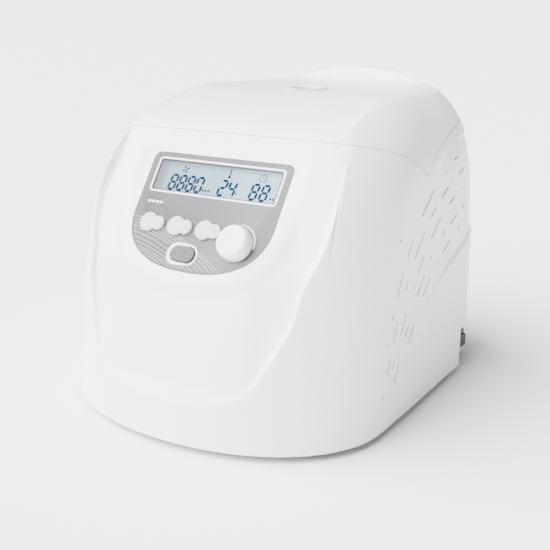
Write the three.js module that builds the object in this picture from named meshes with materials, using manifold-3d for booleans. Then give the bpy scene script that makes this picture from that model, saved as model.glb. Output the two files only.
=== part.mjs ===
// A bench-top laboratory centrifuge: a moulded housing with a sloping control panel, a hinged lid with
// pointed side wings, a chamber with a slotted capillary rotor, and the drive, lock and power pieces inside.
// Millimetres, +Z up, front towards -Y, +X to the right of someone who faces the panel.
// The origin is on the bench, under the middle of the object.
import * as THREE from "three";
import { mergeVertices } from "three/addons/utils/BufferGeometryUtils.js";
import Module from "manifold-3d";

const wasm = await Module();
wasm.setup();

// ---- driving dimensions ---------------------------------------------------------------------------

// Overall body
const BODY_WIDTH = 283;
const BODY_DEPTH = 364;
const BODY_HEIGHT = 264;
const FOOT_HEIGHT = 6;
const WALL = 3;
const CLEARANCE = 0.3;
const SEAM_GAP = 0.9;

// Plan outline: a rounded nose at the front and a flatter tail at the rear
const NOSE_DEPTH = 105;
const NOSE_SHARE = 0.45;
const NOSE_ROUND_X = 2.06;
const NOSE_ROUND_Y = 2.22;
const TAIL_DEPTH = 110;
const TAIL_ROUND_X = 2.1;
const TAIL_ROUND_Y = 2.2;

// How the sides, the nose and the tail draw in with height
const SHOULDER_HEIGHT = BODY_HEIGHT + 11;
const SHOULDER_POWER = 8.5;
const NOSE_LEAN = 0.11;
const CREST_SETBACK = BODY_DEPTH - 109;
const CREST_POWER = 3.9;
const CREST_ROUND = 4;
const TAIL_DRAW_IN = 18;
const TAIL_POWER = 5;

// Chamber axis and the sunken pan in the top
const AXIS_SETBACK = BODY_DEPTH - 142;
const PAN_HEIGHT = BODY_HEIGHT - 12;
const PAN_HALF_WIDTH = BODY_WIDTH / 2 - 35.5;
const PAN_HALF_LENGTH = 106;
const PAN_SQUARENESS = 3;
const PAN_DRAFT = 0.15;

// Front and top strip between the two creases, as distances behind the front and heights
const STRIP_FOOT = [5, 38];
const STRIP_LEDGE = [11, 50];
const STRIP_FRONT = [[16, 70], [25, 100]];
const STRIP_PANEL_FOOT = [37.4, PAN_HEIGHT - 121];
const STRIP_PANEL_TOP = [88, PAN_HEIGHT - 46];
const STRIP_SHOULDER = [111, PAN_HEIGHT - 25];
const STRIP_ARCH = [
  [AXIS_SETBACK - 96, PAN_HEIGHT - 16.5], [AXIS_SETBACK - 72, PAN_HEIGHT - 8.5],
  [AXIS_SETBACK - 42, PAN_HEIGHT - 2.4], [AXIS_SETBACK - 22, PAN_HEIGHT],
];
const STRIP_CROWN = 0.0008;
const STRIP_CROWN_HEIGHT = PAN_HEIGHT - 121;
const STRIP_CROWN_LIMIT = 0.0012;
const STRIP_CROWN_CHANGE = 0.0000135;
const STRIP_STEPS = 10;

// Seam between the lid and the housing, seen from the side
const SEAM_FRONT_HEIGHT = PAN_HEIGHT - 25.5;
const SEAM_FRONT_END = 108;
const SEAM_TIP = [AXIS_SETBACK - 46, PAN_HEIGHT - 57];
const SEAM_REAR_START = AXIS_SETBACK + 50;
const SEAM_REAR_HEIGHT = PAN_HEIGHT - 25;

// Control panel: a flat face that leans back
const PANEL_SETBACK = 93;
const PANEL_TOP_HEIGHT = PAN_HEIGHT - 43;
const PANEL_LEAN = 35.5;
const PANEL_HALF_WIDTH = 66;
const PANEL_STRAIGHT = 50;
const PANEL_ROUND_DEPTH = 47;
const PANEL_CORNER = 6;
const PANEL_THICKNESS = 1.2;
const PANEL_BACKING = 3.5;
const WINDOW = { halfWidth: 57, top: 7, bottom: 32.5 };
const BUTTON_ROW = 61.5;
const BUTTON_FIRST = -48;
const BUTTON_PITCH = 27;
const BUTTON_RADIUS = 8;
const BUTTON_LOBE_RADIUS = 6;
const BUTTON_LOBE_OFFSET = 9.2;
const BUTTON_RISE = 2;
const BUTTON_TRAVEL = 1.2;
const STEM_RADIUS = 3;
const START = { x: -6, down: 83.3, halfLength: 11, radius: 6.2 };
const KNOB = { x: 39.5, down: 69.5, radius: 13.5, rise: 11.5 };
const ENCODER_SHAFT_RADIUS = 3;
const ENCODER_SIZE = 15;
const LCD_MODULE_DEPTH = 7.5;
const BOARD_SETBACK = 16;
const BOARD_THICKNESS = 1.6;

// Chamber and rotor, on one upright axis
const CHAMBER_RADIUS = 94;
const BOWL_WALL = 1.6;
const BOWL_FLANGE = 6;
const DECK_TOP = PAN_HEIGHT - 63;
const DECK_THICKNESS = 3;
const DECK_FRONT = 104;
const BULKHEAD_HEIGHT = DECK_TOP + 26;
const CHAMBER_FLOOR = DECK_TOP - 61;
const SEAL_HEIGHT = 4;
const SHAFT_RADIUS = 5;
const ROTOR_RADIUS = CHAMBER_RADIUS - 7;
const ROTOR_BOTTOM = CHAMBER_FLOOR + 18;
const ROTOR_THICKNESS = 8;
const ROTOR_RIM_HEIGHT = 6;
const ROTOR_RIM_WALL = 3;
const GASKET_WALL = 2.5;
const ROTOR_SLOTS = 24;
const SLOT_WIDTH = 2.2;
const SLOT_DEPTH = 3.5;
const SLOT_INNER = 22;
const HUB_RADIUS = 16;
const COVER_THICKNESS = 2.5;
const NUT_RADIUS = 15;
const NUT_HEIGHT = 17;

// Drive
const MOTOR_RADIUS = 39;
const MOTOR_HEIGHT = 58;
const MOTOR_TOP = CHAMBER_FLOOR - 30;
const MOTOR_FLANGE = 9;
const MOTOR_PLATE_RADIUS = 84;
const MOTOR_PLATE_THICKNESS = 3;
const DAMPER_RADIUS = 9;
const DAMPER_HEIGHT = 26;
const DAMPER_CIRCLE = 70;
const BASE_THICKNESS = 2.5;
const FOOT_RADIUS = 12;
const FOOT_X = BODY_WIDTH / 2 - 37.5;
const FOOT_FRONT = 64;
const FOOT_REAR = BODY_DEPTH - 64;
const BASE_SCREW_RADIUS = 3.5;
const BASE_SCREW_X = 62;
const BASE_SCREW_INSET = [46, 30];

// Lid
const LINER_RADIUS = CHAMBER_RADIUS + 7;
const LINER_THICKNESS = 2.5;
const LINER_WALL_HEIGHT = 14;
const SIGHT_RADIUS = 16;
const SIGHT_GLASS_THICKNESS = 2.2;
const SIGHT_TUBE_WALL = 2;
const HINGE_SETBACK = BODY_DEPTH - 6;
const HINGE_HEIGHT = SEAM_REAR_HEIGHT + 2;
const HINGE_X = 24;
const HINGE_KNUCKLE_RADIUS = 4;
const HINGE_PIN_RADIUS = 2;
const HINGE_WIDTH = 24;
const HINGE_LEAF_THICKNESS = 2;
const HINGE_PAD_SETBACK = BODY_DEPTH - 15.5;

// Lid lock, one on each side of the chamber
const CATCH_X = 72;
const CATCH_SETBACK = AXIS_SETBACK - CHAMBER_RADIUS + 2.5;
const CATCH_THICKNESS = 3.5;
const CATCH_WIDTH = 16;
const CATCH_DROP = DECK_TOP - 13;
const BOLT_WIDTH = 7;
const BOLT_HEIGHT = 5;
const BOLT_LENGTH = 15;
const LOCK_HEIGHT = 26;

// Vent slots in both side walls, each with its distance behind the front, height, length and backward lean
const VENT_WIDTH = 2;
const VENTS = [
  [99, 35, 5, 24], [123, 48, 18, 26], [116, 57, 9, 16], [107, 58, 12, 21], [104, 77, 4, 19], [149, 73, 17, 36],
  [139, 77, 11, 37], [132, 85, 18, 29], [118, 84, 17, 24], [112, 97, 5, 25], [177, 104, 20, 48], [164, 108, 20, 43],
  [150, 111, 6, 31], [136, 116, 9, 32], [123, 119, 21, 27], [163, 126, 16, 44], [185, 127, 5, 58], [159, 143, 27, 47],
  [140, 144, 14, 36], [200, 120, 3, 54], [219, 128, 19, 64], [257, 142, 3, 60], [247, 139, 4, 58], [212, 142, 7, 62],
  [234, 149, 17, 70], [194, 150, 27, 58], [187, 164, 13, 59], [176, 174, 33, 58], [257, 156, 8, 74], [229, 166, 13, 70],
  [214, 176, 19, 68], [252, 172, 3, 66], [230, 182, 3, 60], [218, 192, 3, 60], [253, 187, 17, 76], [243, 199, 10, 76],
];

// Small round hole in the right side wall, over the lid lock's emergency release
const RELEASE_HOLE = { setback: 121, height: 155, radius: 1.6 };

// Power pieces
const SWITCH = { setback: BODY_DEPTH - 82, height: 21, floor: BODY_WIDTH / 2 - 10.5, length: 24, width: 17 };
const SWITCH_RECESS = { front: BODY_DEPTH - 102, rear: BODY_DEPTH - 42, top: 44 };
const ROCKER_TILT = 7;
const ROCKER_X = SWITCH.floor - 3.5;
const INLET = { x: -22, height: 36, width: 30, tall: 38, depth: 20 };
const REAR_PANEL = { halfWidth: 55, bottom: 12, top: 60, setback: BODY_DEPTH - 11, thickness: 2 };
const POWER_BOARD = { left: -104, right: -62, front: BODY_DEPTH - 108, rear: BODY_DEPTH - 48, height: 18 };

const ROUND = 32;

// ---- shared helpers -------------------------------------------------------------------------------

const fromFront = (distance) => distance - BODY_DEPTH / 2;
const AXIS_Y = fromFront(AXIS_SETBACK);
const radians = THREE.MathUtils.degToRad;

// A closed geometry as a solid that can be joined and cut; its faces are turned outwards.
function solid(geometry) {
  const bare = geometry.clone();
  bare.deleteAttribute("normal");
  bare.deleteAttribute("uv");
  const merged = mergeVertices(bare, 1e-4);
  const corners = new Uint32Array(merged.index.array);
  const build = () => new wasm.Manifold(
    new wasm.Mesh({ numProp: 3, vertProperties: merged.attributes.position.array, triVerts: corners }),
  );
  const made = build();
  if (made.volume() > 0) return made;
  corners.reverse();
  return build();
}

// A solid back as a three.js geometry.
function geometryOf(made) {
  const mesh = made.getMesh();
  const geometry = new THREE.BufferGeometry();
  geometry.setAttribute("position", new THREE.BufferAttribute(mesh.vertProperties, 3));
  geometry.setIndex(new THREE.BufferAttribute(mesh.triVerts, 1));
  return geometry.toNonIndexed();
}

const join = (first, ...others) => others.reduce((sum, other) => sum.add(other), first);
const cut = (first, ...others) => others.reduce((rest, other) => rest.subtract(other), first);

// A box between two corners.
function block([x0, y0, z0], [x1, y1, z1]) {
  const geometry = new THREE.BoxGeometry(x1 - x0, y1 - y0, z1 - z0);
  return solid(geometry.translate((x0 + x1) / 2, (y0 + y1) / 2, (z0 + z1) / 2));
}

// An upright round bar.
function rod(radius, bottom, top, x = 0, y = 0, sides = ROUND) {
  const geometry = new THREE.CylinderGeometry(radius, radius, top - bottom, sides).rotateX(Math.PI / 2);
  return solid(geometry.translate(x, y, (bottom + top) / 2));
}

// A round bar along X.
function axle(radius, x0, x1, y, z, sides = 24) {
  const geometry = new THREE.CylinderGeometry(radius, radius, x1 - x0, sides).rotateZ(Math.PI / 2);
  return solid(geometry.translate((x0 + x1) / 2, y, z));
}

// A turned piece: [radius, height] points spun about the upright axis through (x, y).
function turned(profile, x = 0, y = AXIS_Y, sides = ROUND) {
  const points = profile.map(([radius, height]) => new THREE.Vector2(radius, height));
  return solid(new THREE.LatheGeometry(points, sides).rotateX(Math.PI / 2).translate(x, y, 0));
}

// A flat shape raised between two heights.
function raised(shape, bottom, top, curveSegments = 3) {
  const geometry = new THREE.ExtrudeGeometry(shape, { depth: top - bottom, bevelEnabled: false, curveSegments });
  return solid(geometry.translate(0, 0, bottom));
}

// A side-view outline of [y, z] points stretched along X; bow(x, z) moves each point back along Y.
function acrossX(points, x0, x1, steps = 1, bow = () => 0) {
  const shape = new THREE.Shape(points.map(([y, z]) => new THREE.Vector2(y, z)));
  const geometry = new THREE.ExtrudeGeometry(shape, { depth: x1 - x0, steps, bevelEnabled: false });
  geometry.rotateX(Math.PI / 2).rotateZ(Math.PI / 2).translate(x0, 0, 0);
  const position = geometry.attributes.position;
  for (let i = 0; i < position.count; i += 1) {
    position.setY(i, position.getY(i) + bow(position.getX(i), position.getZ(i)));
  }
  return solid(geometry);
}

function roundedRectangle(halfWidth, halfHeight, corner, x = 0, y = 0) {
  const shape = new THREE.Shape();
  shape.moveTo(x + halfWidth - corner, y - halfHeight);
  shape.absarc(x + halfWidth - corner, y - halfHeight + corner, corner, -Math.PI / 2, 0);
  shape.absarc(x + halfWidth - corner, y + halfHeight - corner, corner, 0, Math.PI / 2);
  shape.absarc(x - halfWidth + corner, y + halfHeight - corner, corner, Math.PI / 2, Math.PI);
  shape.absarc(x - halfWidth + corner, y - halfHeight + corner, corner, Math.PI, 1.5 * Math.PI);
  return shape;
}

const finish = (color, roughness, metalness = 0, extra = {}) =>
  new THREE.MeshStandardMaterial({ color, roughness, metalness, ...extra });

const MATERIALS = {
  shell: finish(0xf2f3f3, 0.35),
  liner: finish(0xdfe2e4, 0.5),
  panel: finish(0xa9a9b0, 0.4, 0.3),
  button: finish(0xf4f5f5, 0.45),
  startButton: finish(0x8f9096, 0.45),
  knob: finish(0xf6f6f4, 0.3),
  lens: finish(0xb9cdd6, 0.1, 0, { transparent: true, opacity: 0.6 }),
  display: finish(0xa7bac4, 0.4),
  board: finish(0x1f5c3a, 0.6),
  blackPlastic: finish(0x17181a, 0.45),
  rubber: finish(0x1c1c1d, 0.9),
  greyRubber: finish(0x5c5f63, 0.85),
  steel: finish(0xb9bcc0, 0.3, 1),
  zincSteel: finish(0xa8abad, 0.45, 0.9),
  aluminium: finish(0xc4c8cc, 0.35, 0.9),
  motor: finish(0x3a3d42, 0.5, 0.6),
  glass: finish(0xdfe8ea, 0.05, 0, { transparent: true, opacity: 0.4 }),
};

const centrifuge = new THREE.Group();

function add(name, made, material, parent = centrifuge) {
  const mesh = new THREE.Mesh(geometryOf(made), material);
  mesh.name = name;
  parent.add(mesh);
  return mesh;
}

// ---- outer form -----------------------------------------------------------------------------------

const shoulder = (height) => 1 - (height / SHOULDER_HEIGHT) ** SHOULDER_POWER;
const halfWidthAt = (height) => (BODY_WIDTH / 2) * Math.sqrt(shoulder(height));
const crestCurve = (height) =>
  1 - Math.max(0, 1 - (height / BODY_HEIGHT) ** CREST_POWER) ** (1 / CREST_ROUND);
const noseAt = (height) =>
  NOSE_LEAN * Math.max(0, height - FOOT_HEIGHT) + CREST_SETBACK * crestCurve(height);
const tailAt = (height) => BODY_DEPTH - TAIL_DRAW_IN * (height / BODY_HEIGHT) ** TAIL_POWER;

// One point of the plan outline at a height: share 0..0.5 is the nose, from +X to -X, the rest is the tail.
// Near the crest the outline is shorter than nose and tail together, so the tail curve ends sooner.
function outlinePoint(height, share, inset) {
  const half = halfWidthAt(height) - inset;
  const nose = noseAt(height) + inset;
  const tail = tailAt(height) - inset;
  const noseDepth = Math.min(NOSE_DEPTH, (tail - nose) * NOSE_SHARE);
  const tailDepth = Math.min(TAIL_DEPTH, tail - nose - noseDepth);
  const widest = half * (1 - (1 - tailDepth / TAIL_DEPTH) ** TAIL_ROUND_Y) ** (1 / TAIL_ROUND_X);
  const turn = 2 * Math.PI * share;
  const across = Math.abs(Math.cos(turn));
  const side = Math.sign(Math.cos(turn));
  if (share <= 0.5) {
    const reach = 1 - Math.abs(Math.sin(turn)) ** (2 / NOSE_ROUND_Y);
    return [side * widest * across ** (2 / NOSE_ROUND_X), fromFront(nose + noseDepth * reach)];
  }
  const x = widest * across ** (2 / TAIL_ROUND_X);
  const reach = 1 - Math.max(0, 1 - (x / half) ** TAIL_ROUND_X) ** (1 / TAIL_ROUND_Y);
  return [side * x, fromFront(tail - TAIL_DEPTH * reach)];
}

const FORM_DROPS = [224, 184, 149, 119, 94, 74, 57, 43, 32, 24, 17, 11, 6, 3, 1, 0];
const FORM_LEVELS = FORM_DROPS.map((drop) => BODY_HEIGHT - drop);
const HALF_OUTLINE_STEPS = 18;

// The closed form of the body inside its plan outlines, with every face drawn in by an inset.
function sideForm(inset, bottom = FOOT_HEIGHT) {
  const levels = [bottom, ...FORM_LEVELS.filter((level) => level > bottom + 1)];
  const columns = 2 * HALF_OUTLINE_STEPS + 2;
  const shares = Array.from({ length: columns }, (_, i) => {
    const step = (i % (HALF_OUTLINE_STEPS + 1)) / HALF_OUTLINE_STEPS / 2;
    return i <= HALF_OUTLINE_STEPS ? step : 0.5 + 1e-9 + step;
  });
  const geometry = new THREE.CylinderGeometry(1, 1, 1, columns, levels.length - 1);
  const position = geometry.attributes.position;
  for (let i = 0; i < position.count; i += 1) {
    const level = levels[Math.round((position.getY(i) + 0.5) * (levels.length - 1))];
    const radius = Math.hypot(position.getX(i), position.getZ(i));
    const turn = Math.atan2(position.getX(i), position.getZ(i)) / (2 * Math.PI);
    const column = (Math.round(turn * columns) + columns) % columns;
    const middle = fromFront((noseAt(level) + tailAt(level)) / 2);
    const [x, y] = radius < 0.5 ? [0, middle] : outlinePoint(level, shares[column], inset);
    position.setXYZ(i, x, y, level - inset * (level / BODY_HEIGHT) ** 4);
  }
  return solid(geometry);
}

// Side-view outline of the strip, from its foot up the panel and over the arch to the sunken top pan,
// drawn in by an inset and closed through the space in front of it and above it.
function stripOutline(inset) {
  const front = [STRIP_FOOT, STRIP_LEDGE, ...STRIP_FRONT, STRIP_PANEL_FOOT, STRIP_PANEL_TOP];
  const line = [...front, STRIP_SHOULDER, ...STRIP_ARCH, [AXIS_SETBACK, PAN_HEIGHT]];
  const inner = line.map(([setback, height], i) => {
    const [y0, z0] = line[Math.max(0, i - 1)];
    const [y1, z1] = line[Math.min(line.length - 1, i + 1)];
    const length = Math.hypot(y1 - y0, z1 - z0);
    return [setback + (inset * (z1 - z0)) / length, height - (inset * (y1 - y0)) / length];
  });
  const outside = [[AXIS_SETBACK, 2 * BODY_HEIGHT], [-BODY_DEPTH, 2 * BODY_HEIGHT], [-BODY_DEPTH, 0]];
  return [...inner, ...outside].map(([setback, height]) => [fromFront(setback), height]);
}

// Everything above the strip and the pan, which the body leaves open.
function stripSpace(inset) {
  const rise = (height) => STRIP_CROWN - STRIP_CROWN_CHANGE * (height - STRIP_CROWN_HEIGHT);
  const crownAt = (height) => Math.min(STRIP_CROWN_LIMIT, rise(height));
  const bow = (x, height) => crownAt(Math.min(height, PAN_HEIGHT)) * x ** 2;
  const front = acrossX(stripOutline(inset), -BODY_WIDTH / 2 - WALL, BODY_WIDTH / 2 + WALL, STRIP_STEPS, bow);
  const top = 2 * BODY_HEIGHT;
  const depth = top - PAN_HEIGHT + inset;
  const pan = new THREE.CylinderGeometry(1, 1, depth, 64).rotateX(Math.PI / 2);
  const position = pan.attributes.position;
  for (let i = 0; i < position.count; i += 1) {
    const [x, y, z] = [position.getX(i), position.getY(i), position.getZ(i)];
    const roundness = (Math.abs(x) ** PAN_SQUARENESS + Math.abs(y) ** PAN_SQUARENESS) ** (1 / PAN_SQUARENESS);
    const flare = PAN_DRAFT * (z + depth / 2) + inset;
    const stretch = roundness > 0 ? 1 / roundness : 0;
    position.setXY(i, x * stretch * (PAN_HALF_WIDTH + flare), y * stretch * (PAN_HALF_LENGTH + flare));
  }
  return front.add(solid(pan.translate(0, AXIS_Y, top - depth / 2)));
}

const bodyForm = (inset, bottom) => sideForm(inset, bottom).subtract(stripSpace(inset));
const outerForm = bodyForm(0);
const innerForm = bodyForm(WALL, 0);
const fittedForm = bodyForm(WALL + CLEARANCE, 0);

// ---- seam between the lid and the housing ---------------------------------------------------------

// Side view of the seam: level at the front, down to the wing's tip, and up again to the rear hinge.
function seamLine(shift) {
  const path = new THREE.Path();
  path.moveTo(-BODY_DEPTH, SEAM_FRONT_HEIGHT + shift);
  path.lineTo(fromFront(SEAM_FRONT_END), SEAM_FRONT_HEIGHT + shift);
  const tip = [fromFront(SEAM_TIP[0]), SEAM_TIP[1] + shift];
  const towardsTip = [fromFront(SEAM_FRONT_END + 46), SEAM_FRONT_HEIGHT - 10 + shift];
  path.quadraticCurveTo(...towardsTip, tip[0] - 4, tip[1] + 1.5);
  path.quadraticCurveTo(...tip, tip[0] + 4, tip[1] + 1.5);
  const rear = [fromFront(SEAM_REAR_START), SEAM_REAR_HEIGHT + shift];
  path.quadraticCurveTo(tip[0] + 32, rear[1] - 12, ...rear);
  path.lineTo(BODY_DEPTH, SEAM_REAR_HEIGHT + shift);
  return path.getPoints(7).map((point) => [point.x, point.y]);
}

// All the space above the seam, or all the space below it.
function seamSpace(side, shift) {
  const far = side > 0 ? 2 * BODY_HEIGHT : -BODY_HEIGHT;
  const line = seamLine(shift);
  return acrossX([...line, [BODY_DEPTH, far], [-BODY_DEPTH, far]], -BODY_WIDTH, BODY_WIDTH);
}
const aboveSeam = seamSpace(1, SEAM_GAP / 2);
const belowSeam = seamSpace(-1, -SEAM_GAP / 2);

// ---- control panel frame --------------------------------------------------------------------------

// A group whose XY plane is the panel's face: +X to the right, +Y up the slope, +Z out of the face.
const panelFrame = new THREE.Group();
panelFrame.position.set(0, fromFront(PANEL_SETBACK), PANEL_TOP_HEIGHT);
panelFrame.rotation.x = radians(90 - PANEL_LEAN);
panelFrame.updateMatrix();
centrifuge.add(panelFrame);
const ontoPanel = (made) => solid(geometryOf(made).applyMatrix4(panelFrame.matrix));

// Panel outline, with a grow margin: straight at the top, a round shield shape at the bottom.
function panelShape(grow) {
  const shape = new THREE.Shape();
  const half = PANEL_HALF_WIDTH + grow;
  const corner = PANEL_CORNER + grow;
  const depth = PANEL_ROUND_DEPTH + grow;
  shape.moveTo(half, -PANEL_STRAIGHT);
  shape.absarc(half - corner, grow - corner, corner, 0, Math.PI / 2);
  shape.absarc(corner - half, grow - corner, corner, Math.PI / 2, Math.PI);
  for (let step = 0; step <= 20; step += 1) {
    const turn = Math.PI + (Math.PI * step) / 20;
    const across = Math.cos(turn);
    const x = half * Math.sign(across) * Math.abs(across) ** (2 / 2.4);
    shape.lineTo(x, -PANEL_STRAIGHT - depth * Math.abs(Math.sin(turn)) ** (2 / 2.4));
  }
  return shape;
}

// A round disc or hole in the panel frame, between two heights over its face.
const panelRod = (radius, bottom, top, x, down, sides = 28) => rod(radius, bottom, top, x, -down, sides);

// The cloud outline of a button: a large circle with a small one beside it.
function buttonForm(index, grow, bottom, top) {
  const x = BUTTON_FIRST + index * BUTTON_PITCH;
  const big = panelRod(BUTTON_RADIUS + grow, bottom, top, x, BUTTON_ROW);
  return big.add(panelRod(BUTTON_LOBE_RADIUS + grow, bottom, top, x + BUTTON_LOBE_OFFSET, BUTTON_ROW, 24));
}

const startShape = (grow) => roundedRectangle(
  START.halfLength + grow, START.radius + grow, START.radius + grow - 0.01, START.x, -START.down,
);
const windowShape = (grow) => roundedRectangle(
  WINDOW.halfWidth + grow, (WINDOW.bottom - WINDOW.top) / 2 + grow, 2, 0, -(WINDOW.bottom + WINDOW.top) / 2,
);

const BACKING_TOP = -PANEL_THICKNESS - CLEARANCE;
const BACKING_BOTTOM = BACKING_TOP - PANEL_BACKING;
const STEM_TIP = -BOARD_SETBACK + CLEARANCE + 1.6;
const BUTTONS = ["left", "middle", "right"];

// ---- control panel pieces -------------------------------------------------------------------------

function addControlPanel() {
  let overlay = raised(panelShape(0), -PANEL_THICKNESS, 0);
  overlay = overlay.subtract(raised(windowShape(CLEARANCE), -5, 5));
  overlay = overlay.subtract(raised(startShape(CLEARANCE), -5, 5));
  overlay = overlay.subtract(panelRod(ENCODER_SHAFT_RADIUS + 1, -5, 5, KNOB.x, KNOB.down));
  BUTTONS.forEach((_, i) => {
    overlay = overlay.subtract(buttonForm(i, CLEARANCE, -5, 5));
  });
  add("control_panel", overlay, MATERIALS.panel, panelFrame);
  add("display_lens", raised(windowShape(0), -PANEL_THICKNESS, -0.2), MATERIALS.lens, panelFrame);

  const moduleTop = BACKING_BOTTOM - CLEARANCE;
  const display = roundedRectangle(WINDOW.halfWidth + 3, 15, 1, 0, -(WINDOW.bottom + WINDOW.top) / 2);
  add("display_module", raised(display, moduleTop - LCD_MODULE_DEPTH, moduleTop), MATERIALS.display, panelFrame);

  const boardTop = -BOARD_SETBACK;
  const board = raised(roundedRectangle(58, 39, 2, 0, -50), boardTop - BOARD_THICKNESS, boardTop);
  add("control_board", board, MATERIALS.board, panelFrame);

  const encoderBottom = boardTop + CLEARANCE;
  const encoder = roundedRectangle(ENCODER_SIZE / 2, ENCODER_SIZE / 2, 1, KNOB.x, -KNOB.down);
  const encoderBody = raised(encoder, encoderBottom, BACKING_BOTTOM - CLEARANCE)
    .subtract(panelRod(ENCODER_SHAFT_RADIUS + CLEARANCE, encoderBottom + 2, 5, KNOB.x, KNOB.down));
  add("encoder_body", encoderBody, MATERIALS.zincSteel, panelFrame);

  BUTTONS.forEach((side, i) => {
    const cap = buttonForm(i, 0, -0.1, BUTTON_RISE);
    const stem = panelRod(STEM_RADIUS, STEM_TIP, 0, BUTTON_FIRST + i * BUTTON_PITCH, BUTTON_ROW, 20);
    add(`button_${side}`, cap.add(stem), MATERIALS.button, panelFrame);
  });
  const startCap = raised(startShape(0), -0.1, BUTTON_RISE - 0.4);
  const startStem = panelRod(STEM_RADIUS, STEM_TIP, 0, START.x, START.down, 20);
  add("start_stop_button", startCap.add(startStem), MATERIALS.startButton, panelFrame);

  const skirt = turned([[0, 0.8], [KNOB.radius, 0.8], [KNOB.radius, KNOB.rise - 2.5],
    [KNOB.radius - 0.8, KNOB.rise - 0.8], [KNOB.radius - 3, KNOB.rise], [0, KNOB.rise]], KNOB.x, -KNOB.down);
  const knobBore = panelRod(ENCODER_SHAFT_RADIUS + CLEARANCE, -5, KNOB.rise - 2.5, KNOB.x, KNOB.down);
  add("speed_knob", skirt.subtract(knobBore), MATERIALS.knob, panelFrame);
  const shaft = panelRod(ENCODER_SHAFT_RADIUS, encoderBottom + 2.4, KNOB.rise - 2.8, KNOB.x, KNOB.down);
  add("encoder_shaft", shaft, MATERIALS.steel, panelFrame);
}

// ---- housing --------------------------------------------------------------------------------------

// A vent slot as a straight bar that passes through both side walls.
function ventBar([setback, height, length, lean]) {
  const bar = new THREE.BoxGeometry(BODY_WIDTH + 20, VENT_WIDTH, length);
  return solid(bar.rotateX(-radians(lean)).translate(0, fromFront(setback), height));
}

function addHousing() {
  let housing = outerForm.intersect(belowSeam).subtract(innerForm);

  // A thick flat face behind the panel, with the pocket that the panel lies in and the holes through it.
  const thickFace = ontoPanel(raised(panelShape(5), BACKING_BOTTOM, 6)).intersect(outerForm);
  housing = housing.add(thickFace).subtract(ontoPanel(raised(panelShape(CLEARANCE), BACKING_TOP, 40)));
  housing = housing.subtract(ontoPanel(raised(windowShape(-1), -20, 5)));
  housing = housing.subtract(ontoPanel(panelRod(ENCODER_SHAFT_RADIUS + 1, -20, 5, KNOB.x, KNOB.down)));
  housing = housing.subtract(ontoPanel(panelRod(STEM_RADIUS + 0.6, -20, 5, START.x, START.down)));
  BUTTONS.forEach((_, i) => {
    const hole = panelRod(STEM_RADIUS + 0.6, -20, 5, BUTTON_FIRST + i * BUTTON_PITCH, BUTTON_ROW);
    housing = housing.subtract(ontoPanel(hole));
  });

  // The step low at the right rear where the power switch stands, and its opening.
  const recess = SWITCH_RECESS;
  const [near, far] = [fromFront(recess.front), fromFront(recess.rear)];
  const stepWall = block([SWITCH.floor - WALL, near - WALL, FOOT_HEIGHT], [BODY_WIDTH, far + WALL, recess.top + WALL]);
  const stepSpace = block([SWITCH.floor, near, -1], [BODY_WIDTH, far, recess.top]);
  housing = housing.add(stepWall.intersect(outerForm)).subtract(stepSpace);
  const switchY = fromFront(SWITCH.setback);
  const switchHole = block(
    [SWITCH.floor - 10, switchY - SWITCH.length / 2 + 1.5, SWITCH.height - SWITCH.width / 2 + 1.5],
    [SWITCH.floor + 5, switchY + SWITCH.length / 2 - 1.5, SWITCH.height + SWITCH.width / 2 - 1.5],
  );
  housing = housing.subtract(switchHole);

  // The flat pocket in the rear for the connection panel.
  const pocket = REAR_PANEL;
  const floorY = fromFront(pocket.setback);
  const wallBehind = block([-pocket.halfWidth - WALL, floorY - WALL, pocket.bottom - WALL],
    [pocket.halfWidth + WALL, BODY_DEPTH, pocket.top + WALL]);
  const pocketSpace = block([-pocket.halfWidth, floorY, pocket.bottom], [pocket.halfWidth, BODY_DEPTH, pocket.top]);
  housing = housing.add(wallBehind.intersect(outerForm)).subtract(pocketSpace);
  const inletHole = block([INLET.x - 13, floorY - 10, INLET.height - 17], [INLET.x + 13, BODY_DEPTH, INLET.height + 17]);
  housing = housing.subtract(inletHole);

  // Flat pads in the rear for the hinge leaves.
  housing = housing.add(hingePads(-1).intersect(outerForm).intersect(belowSeam)).subtract(hingePockets());
  VENTS.forEach((slot) => {
    housing = housing.subtract(ventBar(slot));
  });
  const { setback, height, radius } = RELEASE_HOLE;
  housing = housing.subtract(axle(radius, BODY_WIDTH / 2 - 10, BODY_WIDTH, fromFront(setback), height, 12));
  add("housing", housing, MATERIALS.shell);
}

// ---- lid hinge ------------------------------------------------------------------------------------

const HINGE_Y = fromFront(HINGE_SETBACK);
const PAD_Y = fromFront(HINGE_PAD_SETBACK);
const LEAF_BACK = PAD_Y + CLEARANCE;
const LEAF_FRONT = LEAF_BACK + HINGE_LEAF_THICKNESS;
const HINGE_SIDES = [["left", -1], ["right", 1]];
const LOWER_LEAF = [HINGE_HEIGHT - 26, HINGE_HEIGHT - 4];
const UPPER_LEAF = [HINGE_HEIGHT + 4, HINGE_HEIGHT + 11];
const HALF_HINGE = HINGE_WIDTH / 2;
const KNUCKLE = HINGE_WIDTH / 3;

// Material behind the leaves: below the seam for the housing (-1), above it for the lid (1).
function hingePads(side) {
  const [low, high] = side < 0 ? [LOWER_LEAF[0] - WALL, HINGE_HEIGHT] : [HINGE_HEIGHT - WALL, UPPER_LEAF[1] + WALL];
  const pads = HINGE_SIDES.map(([, x]) => block(
    [x * HINGE_X - HALF_HINGE - WALL, PAD_Y - WALL, low],
    [x * HINGE_X + HALF_HINGE + WALL, BODY_DEPTH, high],
  ));
  return join(...pads);
}

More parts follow.
